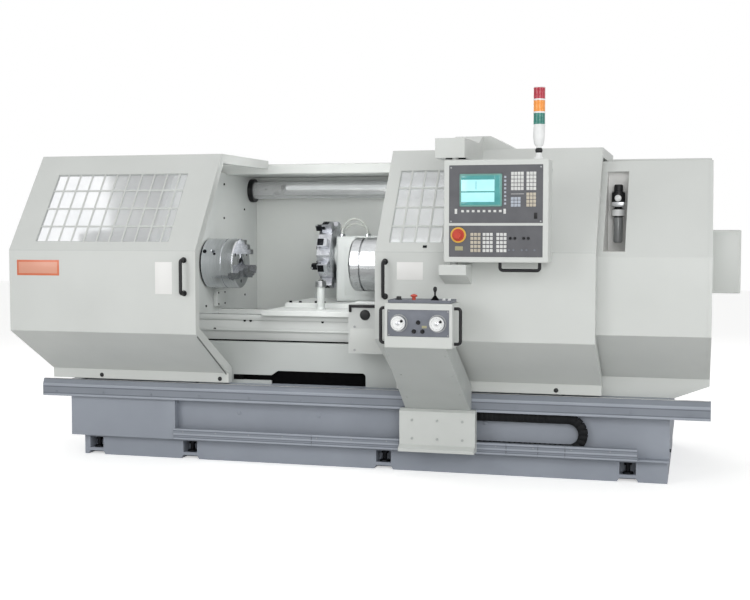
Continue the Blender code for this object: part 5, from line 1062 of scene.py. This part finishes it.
def round_disc(name, shape, turns, material, slot=None):
    """Copies a shape, drawn above the origin, round the tool disc's axis."""
    axis = Matrix.Translation((0, TURRET_Y, TURRET_Z))
    made = at_places(shape, [axis @ Matrix.Rotation(turn, 4, "X") for turn in turns])
    finish(made, name, "turret", material, slot)


def turned_left(outline, x, z, sides=32):
    """A turned shape that points to the left, at a height above the origin."""
    shape = spun(outline, (0, 0, 0), "Z", sides)
    shape.data.transform(Matrix.Translation((x, 0, z)) @ Matrix.Rotation(-math.pi / 2, 4, "Y"))
    return shape


def tool_stations():
    """Shanks, tips, clamps, holders and nozzles of the tool disc's eight stations."""
    left = -0.345
    block_top = 0.205
    turns = [math.pi / 4 * (i + 0.5) for i in range(8)]
    shank = block((left - 0.030, -0.016, 0.160), (left + 0.015, 0.016, 0.190), 0.001)
    round_disc("tool_shanks", shank, turns[::2], BLACK_OXIDE)
    tip = block((left - 0.036, -0.010, 0.178), (left - 0.022, 0.002, 0.192), 0.0012)
    round_disc("tool_tips", tip, turns[::2], GROUND_STEEL)
    wedge = block((left - 0.006, -0.026, 0.136), (left + 0.004, 0.026, 0.158), 0.002)
    round_disc("tool_wedges", wedge, turns, BLACK_OXIDE, "black_plastic")
    clamp = block((left + 0.012, -0.021, block_top - 0.004), (left + 0.050, 0.021, block_top + 0.0022),
                  0.0015)
    round_disc("tool_clamps", clamp, turns, BLACK_OXIDE, "black_plastic")
    bolts = at_places(socket_screw(0.0045, 0.003),
                      [(left + 0.031, y, block_top + 0.002) for y in (-0.009, 0.009)])
    round_disc("tool_clamp_screws", bolts, turns, BLACK_OXIDE)
    nozzle = bar(0.005, 0.016, (left - 0.004, 0, 0.132), "X", 0.001, 16)
    round_disc("coolant_nozzles", nozzle, turns, TURNED_STEEL)
    holder = [(0.010, 0), (0.024, 0), (0.026, 0.004), (0.026, 0.012), (0.010, 0.012), (0.010, 0)]
    round_disc("round_tool_holders", turned_left(holder, left + 0.001, 0.118), turns[1::2], GROUND_STEEL)


def turret_cap():
    """Cap in the middle of the tool disc, with its ring of screws."""
    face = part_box("tool_disc")[0][0]
    cap = [(0, 0.006), (0.045, 0.006), (0.052, 0.003), (0.054, -0.001), (0, -0.001)]
    round_disc("turret_cap", turned_left(cap, face, 0, 40), [0], TURNED_STEEL)
    screws("turret_cap_screws", "turret", BLACK_OXIDE, 0.006, 0.004,
           [on_circle(face + 0.0045, 0.057, math.pi / 4 * i, (TURRET_Y, TURRET_Z)) for i in range(8)], LEFT)


def turret_fittings():
    """Screws of the cross slide, and the turret housing's hose fittings and side cover."""
    slide_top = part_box("cross_slide")[1][2]
    screws("cross_slide_screws", "cross", BLACK_OXIDE, 0.009, 0.010,
           [(x, 0.06, slide_top) for x in (-0.50, -0.44, -0.342, -0.293, -0.05, 0.06)])
    low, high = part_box("turret_housing")
    fitting = [(0.0072, 0.016), (0.0115, 0.016), (0.0125, 0.014), (0.0125, 0.004), (0.0155, 0.002),
               (0.0155, -0.001), (0.0072, -0.001), (0.0072, 0.016)]
    hose_radius = 0.007
    places = []
    for number in (1, 2):
        hose_low, hose_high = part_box(f"coolant_hose_{number}")
        y = middle_of(hose_low, hose_high, 1)
        places += [(hose_low[0] + hose_radius, y, high[2]), (hose_high[0] - hose_radius, y, high[2])]
    turned_copies("hose_fittings", "cross", TURNED_STEEL, fitting, places)
    plates("turret_side_cover", "cross", SHADE_PAINT, 0.0006,
           ((low[0] + 0.30, low[1] - 0.0012, 0.93), (high[0] - 0.03, low[1] + 0.0004, 1.22)))


def apron_fittings():
    """Hook rail, knob, cover and screws of the apron."""
    low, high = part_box("apron")
    front, left = low[1], low[0]
    plates("apron_rail", "carriage", BLACK_PLASTIC, 0.002,
           ((left + 0.004, front - 0.008, high[2] - 0.022),
            (high[0] - 0.05, front + 0.0005, high[2] - 0.006)),
           ((left + 0.004, front - 0.008, high[2] - 0.046),
            (left + 0.018, front + 0.0005, high[2] - 0.008)))
    knob = [(0, 0.010), (0.020, 0.010), (0.026, 0.007), (0.0285, 0.002), (0.0285, -0.001), (0, -0.001)]
    turned("apron_knob", "carriage", BLACK_PLASTIC, knob, (left + 0.093, front, 0.864), "Y", 40)
    screws("apron_screws", "carriage", GROUND_STEEL, 0.0065, 0.003,
           [(x, front, z) for x in (left + 0.035, high[0] - 0.03) for z in (0.674, 0.80)], FRONT)
    plates("apron_lower_cover", "carriage", COVER_PAINT, 0.0006,
           ((left + 0.012, front - 0.0012, low[2] + 0.010),
            (high[0] - 0.012, front + 0.0004, low[2] + 0.135)))


def saddle_fittings():
    """Wipers on the saddle's left end."""
    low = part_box("saddle")[0]
    left, bottom = low[0], low[2]
    plates("saddle_wipers", "carriage", RUBBER_AND_SHADE_BLACK, 0.001,
           *[((left - 0.006, y - 0.035, bottom + 0.0005), (left + 0.0005, y + 0.035, bottom + 0.017))
             for y in (-0.225, 0.225)])


def probe_fittings():
    """Cap and collar of the tool probe."""
    low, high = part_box("tool_probe")
    top = (middle_of(low, high, 0), middle_of(low, high, 1), high[2])
    cap = [(0, 0.006), (0.012, 0.006), (0.016, 0.003), (0.017, -0.001), (0, -0.001)]
    turned("probe_cap", "carriage", BLACK_PLASTIC, cap, top, "Z", 28)
    reach = (high[0] - low[0]) / 2
    collar = [(reach - 0.004, -0.0005), (reach + 0.0015, -0.0005), (reach + 0.0015, -0.034),
              (reach - 0.004, -0.034), (reach - 0.004, -0.0005)]
    turned("probe_collar", "carriage", GROUND_STEEL, collar, top, "Z", 40)


def tailstock_fittings():
    """Face ring and screws of the tailstock's nose."""
    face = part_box("tailstock_nose")[0][0]
    ring = [(0.0305, 0), (0.085, 0), (0.088, 0.002), (0.088, 0.004), (0.0305, 0.004), (0.0305, 0)]
    turned("tailstock_face_ring", "tailstock_body", GROUND_STEEL, ring,
           (face - 0.0038, 0, SPINDLE_HEIGHT), "X", 48)
    radius = 0.118
    screws("tailstock_face_screws", "tailstock_body", BLACK_OXIDE, 0.008, 0.006,
           [on_circle(face + 0.0002, radius, math.pi / 3 * i) for i in range(6)], LEFT)


def air_unit_fittings():
    """Bowl, collar, gauge, knob and block of the air service unit."""
    low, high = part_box("air_unit")
    front, base = low[1], low[2]
    x, y = middle_of(low, high, 0), front + 0.034
    bowl = [(0, -0.0005), (0.017, -0.0005), (0.0228, 0.006), (0.0228, 0.128), (0, 0.128)]
    turned("filter_bowl", "machine", BOWL, bowl, (x, y, base), "Z", 28)
    collar = [(0, 0.130), (0.0328, 0.136), (0.0328, 0.168), (0.020, 0.174), (0, 0.174)]
    turned("filter_collar", "machine", WHITE_PLASTIC, collar, (x, y, base), "Z", 28)
    gauge = [(0, 0.006), (0.013, 0.006), (0.016, 0.004), (0.017, 0.0), (0.017, -0.008), (0, -0.008)]
    turned("air_gauge", "machine", WHITE_PLASTIC, gauge, (x, front - 0.0005, base + 0.225), "Y", 28)
    knob = [(0, 0.252), (0.0228, 0.252), (0.0228, 0.257), (0.0345, 0.2575), (0.0345, 0.2585),
            (0.0228, 0.259), (0.0222, 0.290), (0, 0.2955)]
    turned("regulator_knob", "machine", BLACK_PLASTIC, knob, (x, y, base), "Z", 28)
    plates("regulator_block", "machine", GROUND_STEEL, 0.002,
           ((x - 0.030, front - 0.002, base + 0.182), (x + 0.030, front + 0.006, base + 0.206)),
           slot="chrome")


def cover_fittings():
    """Screws and lid of the right cover and its end box."""
    screws("right_cover_screws", "machine", COVER_PAINT, 0.006, 0.003,
           [(1.737 - 0.12 * i, -0.324, 0.476) for i in range(6)], FRONT, slot="steel")
    low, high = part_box("end_box")
    front, inset, screw_inset = low[1], 0.012, 0.022
    plates("end_box_lid", "machine", COVER_PAINT, 0.0006,
           ((low[0] + inset, front - 0.0012, low[2] + inset),
            (high[0] - inset, front + 0.0004, high[2] - inset)))
    screws("end_box_screws", "machine", COVER_PAINT, 0.005, 0.003,
           [(x, front - 0.001, z) for x in (low[0] + screw_inset, high[0] - screw_inset)
            for z in (low[2] + screw_inset, high[2] - screw_inset)], FRONT)


def back_panels(node, seams):
    """A rear housing with its sheet panels set in between frames, in place of the plain one."""
    low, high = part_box(node)
    shell = block(low, high, 0.004)
    bpy.ops.object.mode_set(mode="EDIT")
    for x in seams:
        bpy.ops.mesh.select_all(action="SELECT")
        bpy.ops.mesh.bisect(plane_co=(x, 0, 0), plane_no=(1, 0, 0))
    border = 0.05
    for z in (low[2] + border, middle_of(low, high, 2), high[2] - border):
        bpy.ops.mesh.select_all(action="SELECT")
        bpy.ops.mesh.bisect(plane_co=(0, 0, z), plane_no=(0, 0, 1))
    bpy.ops.mesh.select_mode(type="FACE")
    bpy.ops.mesh.select_all(action="DESELECT")
    shape = bmesh.from_edit_mesh(shell.data)
    for face in shape.faces:
        middle = face.calc_center_median()
        inside = low[2] + 0.04 < middle.z < high[2] - 0.04 and seams[0] < middle.x < seams[-1]
        face.select_set(face.normal.y > 0.99 and inside)
    bmesh.update_edit_mesh(shell.data)
    bpy.ops.mesh.inset(thickness=0.014, depth=0, use_individual=True)
    bpy.ops.mesh.inset(thickness=0.002, depth=-0.004, use_individual=True)
    bpy.ops.mesh.select_mode(type="VERT")
    bpy.ops.object.mode_set(mode="OBJECT")
    finish(shell, f"{node}_panelled", "machine", COVER_PAINT, stands_for=(node,))


def back_fittings():
    """Sheet panels, pressed vents and catches of the back."""
    back_panels("back_wall", (-0.95, -0.27, 0.41, 1.09, 1.75))
    back_panels("left_rear_housing", (-1.76, -1.09))
    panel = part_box("back_wall")[1][1] - 0.0042
    blade = block((-0.15, -0.0015, -0.0035), (0.15, 0.0028, 0.0035), 0.0014)
    pitch = 0.020
    places = [(x, panel, z + pitch * i) for x in (-0.61, 0.75, 1.42) for z in (0.56, 1.40) for i in range(7)]
    places += [(-1.425, panel, 0.56 + pitch * i) for i in range(9)]
    finish(at_places(blade, places), "back_louvres", "machine", SHADE_PAINT)
    catch = joined([block((-0.012, -0.0005, -0.03), (0.012, 0.0032, 0.03), 0.0015),
                    bar(0.006, 0.003, (0, 0.0022, 0.012), "Y")])
    places = [(x, panel, z) for x in (-0.32, -0.22, 1.04, 1.14) for z in (0.72, 1.30)]
    finish(at_places(catch, places), "back_catches", "machine", BLACK_PLASTIC)


def end_fittings():
    """Pressed vents on the left housing's end, and the access cover on the right end."""
    blade = block((-0.0015, -0.075, -0.004), (0.0025, 0.075, 0.004), 0.0018)
    places = [Matrix.Translation((LEFT_END, 0.65, 0.62 + 0.022 * i)) @ Matrix.Rotation(math.pi, 4, "Z")
              for i in range(9)]
    finish(at_places(blade, places), "left_louvres", "machine", SHADE_PAINT)
    plates("end_access_cover", "machine", COVER_PAINT, 0.0006,
           ((RIGHT_END - 0.0005, 0.20, 0.62), (RIGHT_END + 0.0012, 0.78, 1.50)))
    screws("end_cover_screws", "machine", GROUND_STEEL, 0.006, 0.003,
           [(RIGHT_END + 0.001, y, z) for y in (0.22, 0.76) for z in (0.64, 1.06, 1.48)], RIGHT)
    plates("end_cover_latch", "machine", BLACK_PLASTIC, 0.003,
           ((RIGHT_END, 0.27, 1.02), (RIGHT_END + 0.006, 0.30, 1.10)))


door_windows()
door_plates()
door_hardware()
door_seams()
display()
upper_panel()
lower_panel()
signal_lamps()
console_face()
console_tray()
console_stand()
cable_chain_links()
base_fittings()
track_fittings()
rail_fittings()
base_end_screws()
work_lamp()
inner_wall_fittings()
chip_mouth_shading()
bed_edges()
wall_box()
bed_fittings()
chuck_fittings()
tool_stations()
turret_cap()
turret_fittings()
apron_fittings()
saddle_fittings()
probe_fittings()
tailstock_fittings()
air_unit_fittings()
cover_fittings()
back_fittings()
end_fittings()
